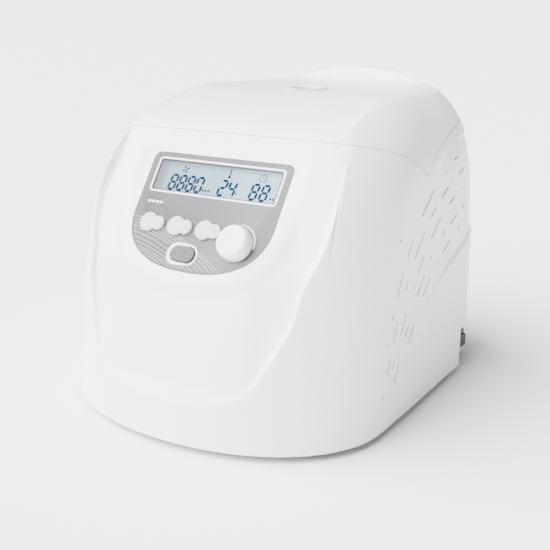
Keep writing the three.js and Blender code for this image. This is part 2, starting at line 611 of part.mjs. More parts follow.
// The space that both leaves and their knuckles take in the rear wall.
function hingePockets() {
  const pockets = HINGE_SIDES.map(([, x]) => block(
    [x * HINGE_X - HALF_HINGE - 0.5, PAD_Y, LOWER_LEAF[0] - 0.5],
    [x * HINGE_X + HALF_HINGE + 0.5, BODY_DEPTH, UPPER_LEAF[1] + 0.5],
  ));
  return join(...pockets);
}

function addHinges() {
  const bore = axle(HINGE_PIN_RADIUS + CLEARANCE, -BODY_WIDTH, BODY_WIDTH, HINGE_Y, HINGE_HEIGHT);
  HINGE_SIDES.forEach(([name, side]) => {
    const x = side * HINGE_X;
    const knuckle = (x0, x1) => axle(HINGE_KNUCKLE_RADIUS, x0, x1, HINGE_Y, HINGE_HEIGHT);
    const leaf = ([low, high]) => block([x - HALF_HINGE, LEAF_BACK, low], [x + HALF_HINGE, LEAF_FRONT, high]);
    const web = (x0, x1, low, high) => block([x0, LEAF_BACK, low], [x1, HINGE_Y - 1, high]);
    const gap = CLEARANCE;
    const [x0, x1, x2, x3] = [x - HALF_HINGE, x - KNUCKLE / 2, x + KNUCKLE / 2, x + HALF_HINGE];
    const lower = join(leaf(LOWER_LEAF), knuckle(x0, x1 - gap), knuckle(x2 + gap, x3),
      web(x0, x1 - gap, LOWER_LEAF[1] - 3, HINGE_HEIGHT - 1), web(x2 + gap, x3, LOWER_LEAF[1] - 3, HINGE_HEIGHT - 1));
    add(`hinge_lower_${name}`, lower.subtract(bore), MATERIALS.zincSteel);
    const upper = join(leaf(UPPER_LEAF), knuckle(x1, x2), web(x1, x2, HINGE_HEIGHT, UPPER_LEAF[0] + 3));
    add(`hinge_upper_${name}`, upper.subtract(bore), MATERIALS.zincSteel);
    const pin = axle(HINGE_PIN_RADIUS, x0 - 0.4, x3 + 0.4, HINGE_Y, HINGE_HEIGHT);
    add(`hinge_pin_${name}`, pin, MATERIALS.steel);
  });
}

// ---- lid ------------------------------------------------------------------------------------------

const FLANGE_TOP = DECK_TOP + CLEARANCE + BOWL_WALL;
const SEAL_BOTTOM = FLANGE_TOP + CLEARANCE;
const LINER_BOTTOM = SEAL_BOTTOM + SEAL_HEIGHT + 0.4;
const PAN_UNDERSIDE = PAN_HEIGHT - WALL;
const BOSS_BOTTOM = PAN_HEIGHT - 29;
const SIGHT_TUBE_RADIUS = SIGHT_RADIUS + SIGHT_TUBE_WALL;
const LINER_POSTS = [0, 90, 180];
const LINER_POST_CIRCLE = LINER_RADIUS - 26;

function addLid() {
  let lid = outerForm.intersect(aboveSeam).subtract(innerForm);
  lid = lid.add(hingePads(1).intersect(outerForm).intersect(aboveSeam)).subtract(hingePockets());
  HINGE_SIDES.forEach(([, side]) => {
    const boss = block([side * CATCH_X - 10, fromFront(CATCH_SETBACK - 6), BOSS_BOTTOM],
      [side * CATCH_X + 10, fromFront(CATCH_SETBACK + 15), PAN_HEIGHT]);
    lid = lid.add(boss.intersect(outerForm));
  });
  lid = lid.subtract(rod(SIGHT_RADIUS, PAN_UNDERSIDE - 5, PAN_HEIGHT + 5, 0, AXIS_Y));
  add("lid_shell", lid, MATERIALS.shell);

  const linerTop = LINER_BOTTOM + LINER_THICKNESS;
  const postTop = PAN_UNDERSIDE - 2 * CLEARANCE;
  const tubeOuter = SIGHT_TUBE_RADIUS + SIGHT_TUBE_WALL;
  const wallInside = LINER_RADIUS - LINER_THICKNESS;
  const wallTop = LINER_BOTTOM + LINER_WALL_HEIGHT;
  const dish = turned([[SIGHT_TUBE_RADIUS, LINER_BOTTOM], [LINER_RADIUS, LINER_BOTTOM], [LINER_RADIUS, wallTop],
    [wallInside, wallTop], [wallInside, linerTop], [tubeOuter, linerTop], [tubeOuter, postTop],
    [SIGHT_TUBE_RADIUS, postTop], [SIGHT_TUBE_RADIUS, LINER_BOTTOM]], 0, AXIS_Y, 48);
  const posts = LINER_POSTS.map((angle) => rod(5, linerTop - 1, postTop,
    LINER_POST_CIRCLE * Math.cos(radians(angle)), AXIS_Y + LINER_POST_CIRCLE * Math.sin(radians(angle)), 20));
  add("lid_liner", join(dish, ...posts), MATERIALS.liner);

  const glassTop = postTop - 0.5;
  add("sight_glass", rod(SIGHT_TUBE_RADIUS - CLEARANCE, glassTop - SIGHT_GLASS_THICKNESS, glassTop, 0, AXIS_Y),
    MATERIALS.glass);
  const [inside, outside, lip] = [SIGHT_RADIUS - 2.4, SIGHT_RADIUS - CLEARANCE, SIGHT_RADIUS + 2.5];
  const ringTop = PAN_HEIGHT + CLEARANCE + 0.8;
  add("sight_glass_ring", turned([[inside, PAN_UNDERSIDE], [outside, PAN_UNDERSIDE],
    [outside, PAN_HEIGHT + CLEARANCE], [lip, PAN_HEIGHT + CLEARANCE], [lip, ringTop], [inside, ringTop],
    [inside, PAN_UNDERSIDE]]), MATERIALS.liner);
}

// ---- lid lock -------------------------------------------------------------------------------------

const LOCK_TOP = DECK_TOP - DECK_THICKNESS - CLEARANCE;
const BOLT_BOTTOM = CATCH_DROP + 3.5;
const BOLT_START = CATCH_SETBACK + 5;
const LOCK_REAR = CATCH_SETBACK + 14.5;
const CATCH_PATH = [CATCH_SETBACK - 8, CATCH_SETBACK + 4.5];

// The way that the catch takes through a piece, with room for its swing.
const catchWay = (side, bottom, top) => block(
  [side * CATCH_X - CATCH_WIDTH / 2 - 1.5, fromFront(CATCH_PATH[0]), bottom],
  [side * CATCH_X + CATCH_WIDTH / 2 + 1.5, fromFront(CATCH_PATH[1]), top],
);

function addLocks() {
  HINGE_SIDES.forEach(([name, side]) => {
    const x = side * CATCH_X;
    const half = CATCH_WIDTH / 2;
    const plateFront = fromFront(CATCH_SETBACK) - CATCH_THICKNESS / 2;
    const flangeTop = BOSS_BOTTOM - CLEARANCE;
    const plate = block([x - half, plateFront, CATCH_DROP], [x + half, plateFront + CATCH_THICKNESS, flangeTop]);
    const flange = block([x - half, fromFront(CATCH_SETBACK - 5), flangeTop - 2.5],
      [x + half, fromFront(CATCH_SETBACK + 14), flangeTop]);
    const window = block([x - BOLT_WIDTH / 2 - 1, plateFront - 1, BOLT_BOTTOM - 0.8],
      [x + BOLT_WIDTH / 2 + 1, plateFront + CATCH_THICKNESS + 1, BOLT_BOTTOM + BOLT_HEIGHT + 0.8]);
    add(`lid_catch_${name}`, cut(join(plate, flange), window), MATERIALS.zincSteel);

    const body = block([x - half - 5, fromFront(CATCH_PATH[0] - 4), LOCK_TOP - LOCK_HEIGHT],
      [x + half + 5, fromFront(LOCK_REAR), LOCK_TOP]);
    const channel = block([x - BOLT_WIDTH / 2 - CLEARANCE, fromFront(CATCH_PATH[0]), BOLT_BOTTOM - CLEARANCE],
      [x + BOLT_WIDTH / 2 + CLEARANCE, BODY_DEPTH, BOLT_BOTTOM + BOLT_HEIGHT + CLEARANCE]);
    add(`lock_body_${name}`, cut(body, catchWay(side, CATCH_DROP - 4, BODY_HEIGHT), channel), MATERIALS.blackPlastic);
    const bolt = block([x - BOLT_WIDTH / 2, fromFront(BOLT_START), BOLT_BOTTOM],
      [x + BOLT_WIDTH / 2, fromFront(BOLT_START) + BOLT_LENGTH, BOLT_BOTTOM + BOLT_HEIGHT]);
    add(`lock_bolt_${name}`, bolt, MATERIALS.steel);
  });
}

// ---- chamber --------------------------------------------------------------------------------------

function addChamber() {
  const slab = block([-BODY_WIDTH, fromFront(DECK_FRONT), DECK_TOP - DECK_THICKNESS],
    [BODY_WIDTH, BODY_DEPTH, DECK_TOP]);
  const bulkhead = block([-BODY_WIDTH, fromFront(DECK_FRONT), DECK_TOP - 1],
    [BODY_WIDTH, fromFront(DECK_FRONT) + 2, BULKHEAD_HEIGHT]);
  const bowlOuter = CHAMBER_RADIUS + BOWL_WALL;
  let deck = slab.add(bulkhead).intersect(fittedForm);
  deck = deck.subtract(rod(bowlOuter + 1.2, 0, BODY_HEIGHT, 0, AXIS_Y, 64));
  HINGE_SIDES.forEach(([, side]) => {
    deck = deck.subtract(catchWay(side, 0, DECK_TOP + 1));
  });
  add("chamber_deck", deck, MATERIALS.liner);

  const [floor, top] = [CHAMBER_FLOOR, FLANGE_TOP];
  const flange = CHAMBER_RADIUS + BOWL_FLANGE;
  const inner = floor + BOWL_WALL;
  const bootHole = HUB_RADIUS;
  add("chamber_bowl", turned([[bootHole, floor], [CHAMBER_RADIUS - 10, floor], [bowlOuter, floor + 12],
    [bowlOuter, top - BOWL_WALL], [flange, top - BOWL_WALL], [flange, top], [CHAMBER_RADIUS, top],
    [CHAMBER_RADIUS, floor + 12.7], [CHAMBER_RADIUS - 10.7, inner], [bootHole, inner], [bootHole, floor]],
  0, AXIS_Y, 56), MATERIALS.steel);
  add("chamber_seal", turned([[CHAMBER_RADIUS + 0.5, SEAL_BOTTOM], [flange - 0.5, SEAL_BOTTOM],
    [flange - 1.5, SEAL_BOTTOM + SEAL_HEIGHT], [CHAMBER_RADIUS + 1.5, SEAL_BOTTOM + SEAL_HEIGHT],
    [CHAMBER_RADIUS + 0.5, SEAL_BOTTOM]], 0, AXIS_Y, 48), MATERIALS.greyRubber);
  const bootInside = SHAFT_RADIUS + 2.5;
  add("shaft_boot", turned([[bootInside, floor - 2], [bootHole - CLEARANCE, floor - 2],
    [bootHole - CLEARANCE, inner + CLEARANCE], [bootHole + 4, inner + CLEARANCE], [bootHole + 2, inner + 3],
    [bootInside, inner + 3], [bootInside, floor - 2]]), MATERIALS.rubber);
}

// ---- rotor ----------------------------------------------------------------------------------------

function addRotor() {
  const bore = SHAFT_RADIUS + CLEARANCE;
  const plateTop = ROTOR_BOTTOM + ROTOR_THICKNESS;
  const rimTop = plateTop + ROTOR_RIM_HEIGHT;
  const rimInside = ROTOR_RADIUS - ROTOR_RIM_WALL;
  const gasketInside = rimInside - CLEARANCE - GASKET_WALL;
  let rotor = turned([[bore, ROTOR_BOTTOM], [ROTOR_RADIUS, ROTOR_BOTTOM], [ROTOR_RADIUS, rimTop],
    [rimInside, rimTop], [rimInside, plateTop], [HUB_RADIUS, plateTop], [HUB_RADIUS, rimTop], [bore, rimTop],
    [bore, ROTOR_BOTTOM]], 0, AXIS_Y, 48);
  for (let i = 0; i < ROTOR_SLOTS; i += 1) {
    const slot = new THREE.BoxGeometry(gasketInside - SLOT_INNER, SLOT_WIDTH, 2 * SLOT_DEPTH);
    slot.translate((gasketInside + SLOT_INNER) / 2, 0, plateTop).rotateZ((2 * Math.PI * i) / ROTOR_SLOTS);
    rotor = rotor.subtract(solid(slot.translate(0, AXIS_Y, 0)));
  }
  add("rotor", rotor, MATERIALS.aluminium);
  const gasketBottom = plateTop + CLEARANCE;
  add("rotor_gasket", turned([[gasketInside, gasketBottom], [gasketInside + GASKET_WALL, gasketBottom],
    [gasketInside + GASKET_WALL, rimTop - 1], [gasketInside, rimTop - 1], [gasketInside, gasketBottom]]),
  MATERIALS.rubber);

  const coverBottom = rimTop + CLEARANCE;
  const coverTop = coverBottom + COVER_THICKNESS;
  const domeTop = coverTop + 2;
  add("rotor_cover", turned([[bore + 0.7, coverBottom], [ROTOR_RADIUS - 0.5, coverBottom],
    [ROTOR_RADIUS - 0.5, coverTop - 1], [ROTOR_RADIUS - 2, coverTop], [HUB_RADIUS + 8, coverTop],
    [HUB_RADIUS + 2, domeTop], [bore + 0.7, domeTop], [bore + 0.7, coverBottom]], 0, AXIS_Y, 48), MATERIALS.aluminium);

  const nutBottom = domeTop + CLEARANCE;
  const nutTop = nutBottom + NUT_HEIGHT;
  let nut = turned([[0, nutBottom], [NUT_RADIUS, nutBottom], [NUT_RADIUS, nutTop - 2], [NUT_RADIUS - 2, nutTop],
    [0, nutTop]], 0, AXIS_Y, 32);
  nut = nut.subtract(rod(bore, nutBottom - 1, nutBottom + 10, 0, AXIS_Y, 24));
  for (let i = 0; i < 8; i += 1) {
    const angle = (Math.PI * i) / 4;
    const reach = NUT_RADIUS + 1.2;
    nut = nut.subtract(rod(2.6, nutBottom + 4, nutTop + 1,
      reach * Math.cos(angle), AXIS_Y + reach * Math.sin(angle), 12));
  }
  add("rotor_nut", nut, MATERIALS.blackPlastic);
  add("motor_shaft", rod(SHAFT_RADIUS, MOTOR_TOP - 18, nutBottom + 8, 0, AXIS_Y, 32), MATERIALS.steel);
}

// ---- drive and base -------------------------------------------------------------------------------

function addDrive() {
  const bottom = MOTOR_TOP - MOTOR_HEIGHT;
  const motor = turned([[0, bottom], [MOTOR_RADIUS - 6, bottom], [MOTOR_RADIUS, bottom + 6],
    [MOTOR_RADIUS, MOTOR_TOP - 3], [MOTOR_RADIUS + MOTOR_FLANGE, MOTOR_TOP - 3],
    [MOTOR_RADIUS + MOTOR_FLANGE, MOTOR_TOP], [0, MOTOR_TOP]]);
  const shaftWay = rod(SHAFT_RADIUS + CLEARANCE, MOTOR_TOP - 19, MOTOR_TOP + 1, 0, AXIS_Y);
  add("motor_body", motor.subtract(shaftWay), MATERIALS.motor);

  const plateBottom = MOTOR_TOP + CLEARANCE;
  const plateTop = plateBottom + MOTOR_PLATE_THICKNESS;
  add("motor_plate", turned([[20, plateBottom], [MOTOR_PLATE_RADIUS, plateBottom], [MOTOR_PLATE_RADIUS, plateTop],
    [20, plateTop], [20, plateBottom]]), MATERIALS.zincSteel);

  const damperTop = plateBottom - CLEARANCE;
  const postTop = damperTop - DAMPER_HEIGHT - CLEARANCE;
  const plate = FOOT_HEIGHT + 1;
  const baseTop = plate + BASE_THICKNESS;
  const sheet = block([-BODY_WIDTH, -BODY_DEPTH, plate], [BODY_WIDTH, BODY_DEPTH, baseTop]);
  let base = fittedForm.intersect(sheet);
  const margin = WALL + CLEARANCE;
  base = base.subtract(block([SWITCH.floor - margin, fromFront(SWITCH_RECESS.front) - margin, 0],
    [BODY_WIDTH, fromFront(SWITCH_RECESS.rear) + margin, BODY_HEIGHT]));
  base = base.subtract(block([-REAR_PANEL.halfWidth - margin, fromFront(REAR_PANEL.setback) - margin, 0],
    [REAR_PANEL.halfWidth + margin, BODY_DEPTH, BODY_HEIGHT]));
  [90, 210, 330].forEach((angle, i) => {
    const x = DAMPER_CIRCLE * Math.cos(radians(angle));
    const y = AXIS_Y + DAMPER_CIRCLE * Math.sin(radians(angle));
    base = base.add(rod(DAMPER_RADIUS - 1, baseTop - 1, postTop, x, y, 24));
    add(`motor_damper_${i + 1}`, rod(DAMPER_RADIUS, postTop + CLEARANCE, damperTop, x, y, 24), MATERIALS.rubber);
  });
  add("base_plate", base, MATERIALS.zincSteel);

  const corners = [["front_left", -1, FOOT_FRONT], ["front_right", 1, FOOT_FRONT],
    ["rear_left", -1, FOOT_REAR], ["rear_right", 1, FOOT_REAR]];
  corners.forEach(([corner, side, setback]) => {
    const foot = turned([[0, 0], [FOOT_RADIUS - 1.5, 0], [FOOT_RADIUS, 1.5], [FOOT_RADIUS, plate - CLEARANCE],
      [0, plate - CLEARANCE]], side * FOOT_X, fromFront(setback), 28);
    add(`foot_${corner}`, foot, MATERIALS.rubber);
    const screwY = fromFront(setback < AXIS_SETBACK ? BASE_SCREW_INSET[0] : BODY_DEPTH - BASE_SCREW_INSET[1]);
    const screwTop = plate - CLEARANCE;
    add(`base_screw_${corner}`, rod(BASE_SCREW_RADIUS, screwTop - 1.6, screwTop, side * BASE_SCREW_X, screwY, 20),
      MATERIALS.zincSteel);
  });
}

// ---- power pieces ---------------------------------------------------------------------------------

function addPower() {
  const switchY = fromFront(SWITCH.setback);
  const { floor, height, length, width } = SWITCH;
  const face = floor + CLEARANCE;
  const box = (x0, x1, halfLength, halfWidth) => block([x0, switchY - halfLength, height - halfWidth],
    [x1, switchY + halfLength, height + halfWidth]);
  const frame = box(face, face + 2, length / 2, width / 2).add(box(face - 14, face + 1, length / 2 - 1.8, width / 2 - 1.8));
  add("switch_frame", frame.subtract(box(face - 10, face + 5, 9.9, 5.8)), MATERIALS.blackPlastic);

  const outline = [[-4, -7.4], [2, -8.9], [8, -8.9], [6, 0], [8, 8.9], [2, 8.9], [-4, 7.4]];
  const shape = new THREE.Shape(outline.map(([x, y]) => new THREE.Vector2(x, y)));
  const rocker = new THREE.ExtrudeGeometry(shape, { depth: 11, bevelEnabled: false });
  rocker.rotateZ(-radians(ROCKER_TILT)).translate(ROCKER_X, switchY, height - 5.5);
  add("power_rocker", solid(rocker), MATERIALS.blackPlastic);

  const panelY = fromFront(REAR_PANEL.setback) + CLEARANCE;
  const panelRear = panelY + REAR_PANEL.thickness;
  const { halfWidth, bottom, top } = REAR_PANEL;
  const sheet = block([-halfWidth + CLEARANCE, panelY, bottom + CLEARANCE], [halfWidth - CLEARANCE, panelRear, top - CLEARANCE]);
  const inletBox = (halfX, halfZ, y0, y1) => block([INLET.x - halfX, y0, INLET.height - halfZ],
    [INLET.x + halfX, y1, INLET.height + halfZ]);
  add("rear_panel", sheet.subtract(inletBox(13, 17, 0, BODY_DEPTH)), MATERIALS.zincSteel);

  const inletFront = panelY - INLET.depth;
  const inletRear = panelRear + CLEARANCE + 2.5;
  const inlet = inletBox(12.7, 16.7, inletFront, inletRear)
    .add(inletBox(INLET.width / 2 + 1, INLET.tall / 2 + 1, panelRear + CLEARANCE, inletRear));
  const socket = block([INLET.x - 11, inletFront + 4, INLET.height - 1], [INLET.x + 11, BODY_DEPTH, INLET.height + 13]);
  const drawerBox = (grow, y0) => block([INLET.x - 9 - grow, y0, INLET.height - 13 - grow],
    [INLET.x + 9 + grow, inletRear + (grow ? 5 : 0.8), INLET.height - 5 + grow]);
  add("power_inlet", cut(inlet, socket, drawerBox(CLEARANCE, inletFront + 4)), MATERIALS.blackPlastic);
  add("fuse_drawer", drawerBox(0, inletFront + 5), MATERIALS.blackPlastic);

  const { left, right } = POWER_BOARD;
  const boardZ = POWER_BOARD.height;
  const [boardFront, boardRear] = [fromFront(POWER_BOARD.front), fromFront(POWER_BOARD.rear)];
  const board = block([left, boardFront, boardZ], [right, boardRear, boardZ + BOARD_THICKNESS]);
  const standoffs = [left + 4, right - 4].flatMap((x) => [boardFront + 4, boardRear - 4].map(
    (y) => rod(3, FOOT_HEIGHT + 1 + BASE_THICKNESS + CLEARANCE, boardZ + 0.5, x, y, 16)));
  const capacitors = [left + 11, right - 11].map((x) => rod(8, boardZ + 1, boardZ + 36, x, boardFront + 16, 24));
  const heatSink = block([left + 6, boardRear - 16, boardZ + 1], [right - 6, boardRear - 10, boardZ + 30]);
  add("power_board", join(board, ...standoffs, ...capacitors, heatSink), MATERIALS.board);
}

addHousing();
addControlPanel();
addHinges();
addLid();
addLocks();
addChamber();
addRotor();
addDrive();
addPower();

export default centrifuge;
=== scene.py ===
"""The finished look of a bench-top laboratory centrifuge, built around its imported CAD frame.

Metres, +Z up, front towards -Y, +X to the right of someone who faces the control panel.
Helper functions take millimetres where their comment says so; `MM` turns them into metres.
"""

import math

import bpy
import numpy as np
from mathutils import Matrix, Vector


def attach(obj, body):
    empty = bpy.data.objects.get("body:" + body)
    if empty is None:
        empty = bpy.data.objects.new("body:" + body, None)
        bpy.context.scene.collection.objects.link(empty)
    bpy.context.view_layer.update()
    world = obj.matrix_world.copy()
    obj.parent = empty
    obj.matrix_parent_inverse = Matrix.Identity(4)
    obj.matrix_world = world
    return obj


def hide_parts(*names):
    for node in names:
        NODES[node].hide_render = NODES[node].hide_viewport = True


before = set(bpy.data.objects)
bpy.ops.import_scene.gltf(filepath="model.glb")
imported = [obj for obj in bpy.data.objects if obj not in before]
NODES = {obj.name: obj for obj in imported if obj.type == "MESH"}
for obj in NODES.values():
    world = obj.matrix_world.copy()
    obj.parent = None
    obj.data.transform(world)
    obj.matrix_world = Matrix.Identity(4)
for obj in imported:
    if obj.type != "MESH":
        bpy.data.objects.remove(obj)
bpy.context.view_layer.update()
MM = 0.001

# ---- sizes shared with the CAD part, in millimetres ------------------------------------------------

WIDTH, DEPTH, HEIGHT, FOOT = 283.0, 364.0, 264.0, 6.0
NOSE_DEPTH, NOSE_X, NOSE_Y, NOSE_SHARE = 105.0, 2.06, 2.22, 0.45
TAIL_DEPTH, TAIL_X, TAIL_Y = 110.0, 2.1, 2.2
SHELL_WALL = 2.3
SEAM_GAP = 0.9
PAN_HEIGHT, PAN_REACH, PAN_SQUARE, PAN_DRAFT = 252.0, 106.0, 3.0, 0.3
AXIS = 222.0
SIGHT_RADIUS = 16.0
PANEL_LEAN = math.radians(35.5)
PANEL_SETBACK, PANEL_TOP = 93.0, 209.0

# The ridge along the strip: how deep the strip dips behind it, and how far in it ends.
RIDGE_DEPTH, RIDGE_IN, RIDGE_OUT = 3.4, 9, 80
# The lid's top edge comes down towards the sides at the back.
CREST_FROM, CREST_TO, CREST_SHARE = 225, 270, 0.78

# The strip's side line from its foot to the pan: distance behind the front, height.
STRIP_LINE = np.array([
    (4.2, 37.5), (11, 50), (16, 70), (25, 100), (37.4, 131), (88, 206), (111, 227), (126, 235.5),
    (150, 243.5), (180, 249.6), (200, 252), (222, 252), (340, 252),
])


# ---- small helpers ---------------------------------------------------------------------------------

def smooth_step(value, low, high):
    part = np.clip((value - low) / (high - low), 0, 1)
    return part * part * (3 - 2 * part)


def deselect():
    if bpy.context.mode != "OBJECT":
        bpy.ops.object.mode_set(mode="OBJECT")
    bpy.ops.object.select_all(action="DESELECT")


def activate(piece):
    deselect()
    piece.select_set(True)
    bpy.context.view_layer.objects.active = piece
    return piece


def started(name):
    """Names the primitive that was just added and returns it."""
    piece = bpy.context.object
    piece.name = piece.data.name = name
    return piece


def settle(piece):
    """Moves a piece's place, turn and scale into its mesh."""
    activate(piece)
    bpy.ops.object.transform_apply(location=True, rotation=True, scale=True)
    return piece


def modify(piece, kind, **values):
    """Adds one modifier and applies it."""
    activate(piece)
    modifier = piece.modifiers.new(kind.title(), kind)
    for key, value in values.items():
        setattr(modifier, key, value)
    bpy.ops.object.modifier_apply(modifier=modifier.name)
    return piece


def soften(piece, width=0.4, segments=2, angle=35):
    """Rounds a piece's sharp edges and shades it smooth; the width is in millimetres."""
    modify(piece, "BEVEL", width=width * MM, segments=segments, limit_method="ANGLE",
           angle_limit=math.radians(angle), harden_normals=False)
    return shade(piece)


def shade(piece, angle=35):
    activate(piece)
    bpy.ops.object.shade_smooth_by_angle(angle=math.radians(angle))
    return piece


def edit_all():
    """Goes into edit mode on the active piece with everything selected."""
    bpy.ops.object.mode_set(mode="EDIT")
    bpy.ops.mesh.select_all(action="SELECT")


def edit_faces(piece, directions):
    """Goes into edit mode with only the faces selected that look along one of the directions."""
    activate(piece)
    bpy.ops.object.mode_set(mode="EDIT")
    bpy.ops.mesh.select_all(action="DESELECT")
    bpy.ops.object.mode_set(mode="OBJECT")
    for face in piece.data.polygons:
        face.select = any(face.normal.dot(Vector(way)) > 0.9 for way in directions)
    bpy.ops.object.mode_set(mode="EDIT")


def leave_edit():
    bpy.ops.object.mode_set(mode="OBJECT")


def recalculate(piece):
    activate(piece)
    edit_all()
    bpy.ops.mesh.remove_doubles(threshold=1e-6)
    bpy.ops.mesh.normals_make_consistent(inside=False)
    leave_edit()
    return piece


def coordinates(piece):
    flat = np.zeros(len(piece.data.vertices) * 3)
    piece.data.vertices.foreach_get("co", flat)
    return flat.reshape(-1, 3)


def put_coordinates(piece, points):
    piece.data.vertices.foreach_set("co", np.ascontiguousarray(points, float).ravel())
    piece.data.update()


def joined(name, pieces):
    activate(pieces[0])
    for piece in pieces[1:]:
        piece.select_set(True)
    bpy.ops.object.join()
    return started(name)


def carve(piece, cutters):
    """Cuts all the cutters out of a piece and removes them."""
    tool = joined("cutter", cutters) if len(cutters) > 1 else cutters[0]
    modify(piece, "BOOLEAN", operation="DIFFERENCE", object=tool, solver="EXACT", use_self=False)
    bpy.data.objects.remove(tool)
    return piece


def finish_piece(piece, body, slot, material, *replaced):
    piece.data.materials.clear()
    piece.data.materials.append(material)
    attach(piece, body)
    if replaced:
        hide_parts(*replaced)
    return piece


def from_front(distance):
    return distance - DEPTH / 2


def box(name, low, high):
    """A box between two corners in millimetres."""
    low, high = np.array(low, float), np.array(high, float)
    deselect()
    bpy.ops.mesh.primitive_cube_add(size=1, location=(low + high) / 2 * MM, scale=(high - low) * MM)
    return settle(started(name))


def turned(name, profile, centre=(0.0, AXIS - DEPTH / 2), sides=96, loop=False):
    """A turned piece in millimetres: rings of [radius, height], extruded one from the next."""
    deselect()
    radius, height = profile[0]
    x, y = centre[0] * MM, centre[1] * MM
    bpy.ops.mesh.primitive_circle_add(vertices=sides, radius=radius * MM, location=(x, y, height * MM),
                                      fill_type="NOTHING" if loop else "NGON")
    piece = settle(started(name))
    edit_all()
    for ring_radius, ring_height in profile[1:]:
        rise = (ring_height - height) * MM
        bpy.ops.mesh.extrude_region_move(TRANSFORM_OT_translate={"value": (0, 0, rise)})
        ratio = ring_radius / radius
        bpy.ops.transform.resize(value=(ratio, ratio, 1), center_override=(x, y, ring_height * MM))
        radius, height = ring_radius, ring_height
    leave_edit()
    return recalculate(piece)


def plate(name, outline, bottom, top):
    """A flat piece raised from a closed outline of (x, y) points, all in millimetres."""
    deselect()
    bpy.ops.mesh.primitive_circle_add(vertices=len(outline), radius=1, fill_type="NGON")
    piece = started(name)
    points = np.zeros((len(outline), 3))
    points[:, :2] = outline
    points[:, 2] = bottom
    put_coordinates(piece, points * MM)
    edit_all()
    bpy.ops.mesh.extrude_region_move(TRANSFORM_OT_translate={"value": (0, 0, (top - bottom) * MM)})
    leave_edit()
    return recalculate(piece)


# ---- the body's outer form -------------------------------------------------------------------------

def half_width(z):
    return WIDTH / 2 * np.sqrt(np.maximum(0, 1 - (z / 275) ** 8.5))


def nose_at(z):
    crest = 1 - np.maximum(0, 1 - (z / HEIGHT) ** 3.9) ** 0.25
    return 0.11 * np.maximum(0, z - FOOT) + 255 * crest


def tail_at(z):
    return DEPTH - 18 * (z / HEIGHT) ** 5


# Shares of the way round that each half of the plan spends on its round end and on its straight side.
ROUND_SHARE, STRAIGHT_SHARE = 0.35, 0.15


def side_point(z, share):
    """A point of the plan at height z: from +X round the nose, back along -X, then round the tail."""
    half, nose, tail = half_width(z), nose_at(z), tail_at(z)
    nose_depth = np.minimum(NOSE_DEPTH, (tail - nose) * NOSE_SHARE)
    tail_depth = np.minimum(TAIL_DEPTH, tail - nose - nose_depth)
    widest = half * (1 - (1 - tail_depth / TAIL_DEPTH) ** TAIL_Y) ** (1 / TAIL_X)
    part, along = divmod(share, 0.5)
    side = -1 if part else 1
    if along > ROUND_SHARE:
        forward = (along - ROUND_SHARE) / STRAIGHT_SHARE
        start, end = nose + nose_depth, tail - tail_depth
        if part:
            start, end = end, start
        return -side * widest, start + (end - start) * forward
    turn = math.pi * along / ROUND_SHARE
    across, side = abs(math.cos(turn)), math.copysign(side, side * math.cos(turn))
    if not part:
        y = nose + nose_depth * (1 - abs(math.sin(turn)) ** (2 / NOSE_Y))
        return side * widest * across ** (2 / NOSE_X), y
    x = widest * across ** (2 / TAIL_X)
    reach = 1 - np.maximum(0, 1 - (x / half) ** TAIL_X) ** (1 / TAIL_Y)
    return side * x, tail - TAIL_DEPTH * reach


def steps_along(points):
    """How far along a line each of its points lies."""
    return np.r_[0, np.cumsum(np.linalg.norm(np.diff(points, axis=0), axis=1))]


def resample(points, count):
    steps = steps_along(points)
    wanted = np.linspace(0, steps[-1], count)
    return np.c_[tuple(np.interp(wanted, steps, points[:, i]) for i in range(points.shape[1]))]


def relax(points, sigma):
    """Rounds the corners of a dense line, keeping its ends; sigma is in samples."""
    reach = int(3 * sigma) + 1
    weights = np.exp(-0.5 * (np.arange(-reach, reach + 1) / sigma) ** 2)
    weights /= weights.sum()
    before = 2 * points[0] - points[reach:0:-1]
    after = 2 * points[-1] - points[-2:-reach - 2:-1]
    longer = np.vstack([before, points, after])
    return np.c_[tuple(np.convolve(longer[:, i], weights, "valid") for i in range(points.shape[1]))]


line = resample(STRIP_LINE, 4 * int(steps_along(STRIP_LINE)[-1]) + 1)
line = np.vstack([relax(line[:200], 6), line[200:]])
line = np.vstack([line[:120], relax(line[120:], 22)])
LINE_STEPS = steps_along(line)
PAN_START = np.interp(AXIS, line[:, 0], LINE_STEPS)


def strip_crown(z):
    return np.minimum(0.0012, 0.0008 - 0.0000135 * (np.minimum(z, PAN_HEIGHT) - 131))


def strip_point(x, along):
    """Depth and height of the strip, or of the pan it leads to, at x and a way along the side line."""
    y, z = np.interp(along, LINE_STEPS, line[:, 0]), np.interp(along, LINE_STEPS, line[:, 1])
    flat = smooth_step(along, PAN_START - 45, PAN_START)
    y = y + strip_crown(z) * x * x * (1 - flat)
    rise = pan_distance(x, y) / PAN_DRAFT
    z = z + np.where(y > AXIS, np.clip(rise, 0, HEIGHT - PAN_HEIGHT), 0)
    return y, z


def pan_distance(x, y):
    """How far a point in plan lies outside the pan's floor."""
    across = np.abs(x) / PAN_REACH
    along = np.abs(y - AXIS) / PAN_REACH
    return PAN_REACH * ((across ** PAN_SQUARE + along ** PAN_SQUARE) ** (1 / PAN_SQUARE) - 1)


def seam_height(x, y):
    """Height of the seam between the lid and the housing, over a point's distance behind the front."""
    return np.interp(y, SEAM[:, 0], SEAM[:, 1]) + 0.9 * (1 - smooth_step(y, 104, 116)) * (1 - (x / 92) ** 2)


def bend(start, middle, end, count=24):
    t = np.linspace(0, 1, count)[:, None]
    return (1 - t) ** 2 * np.array(start) + 2 * t * (1 - t) * np.array(middle) + t ** 2 * np.array(end)


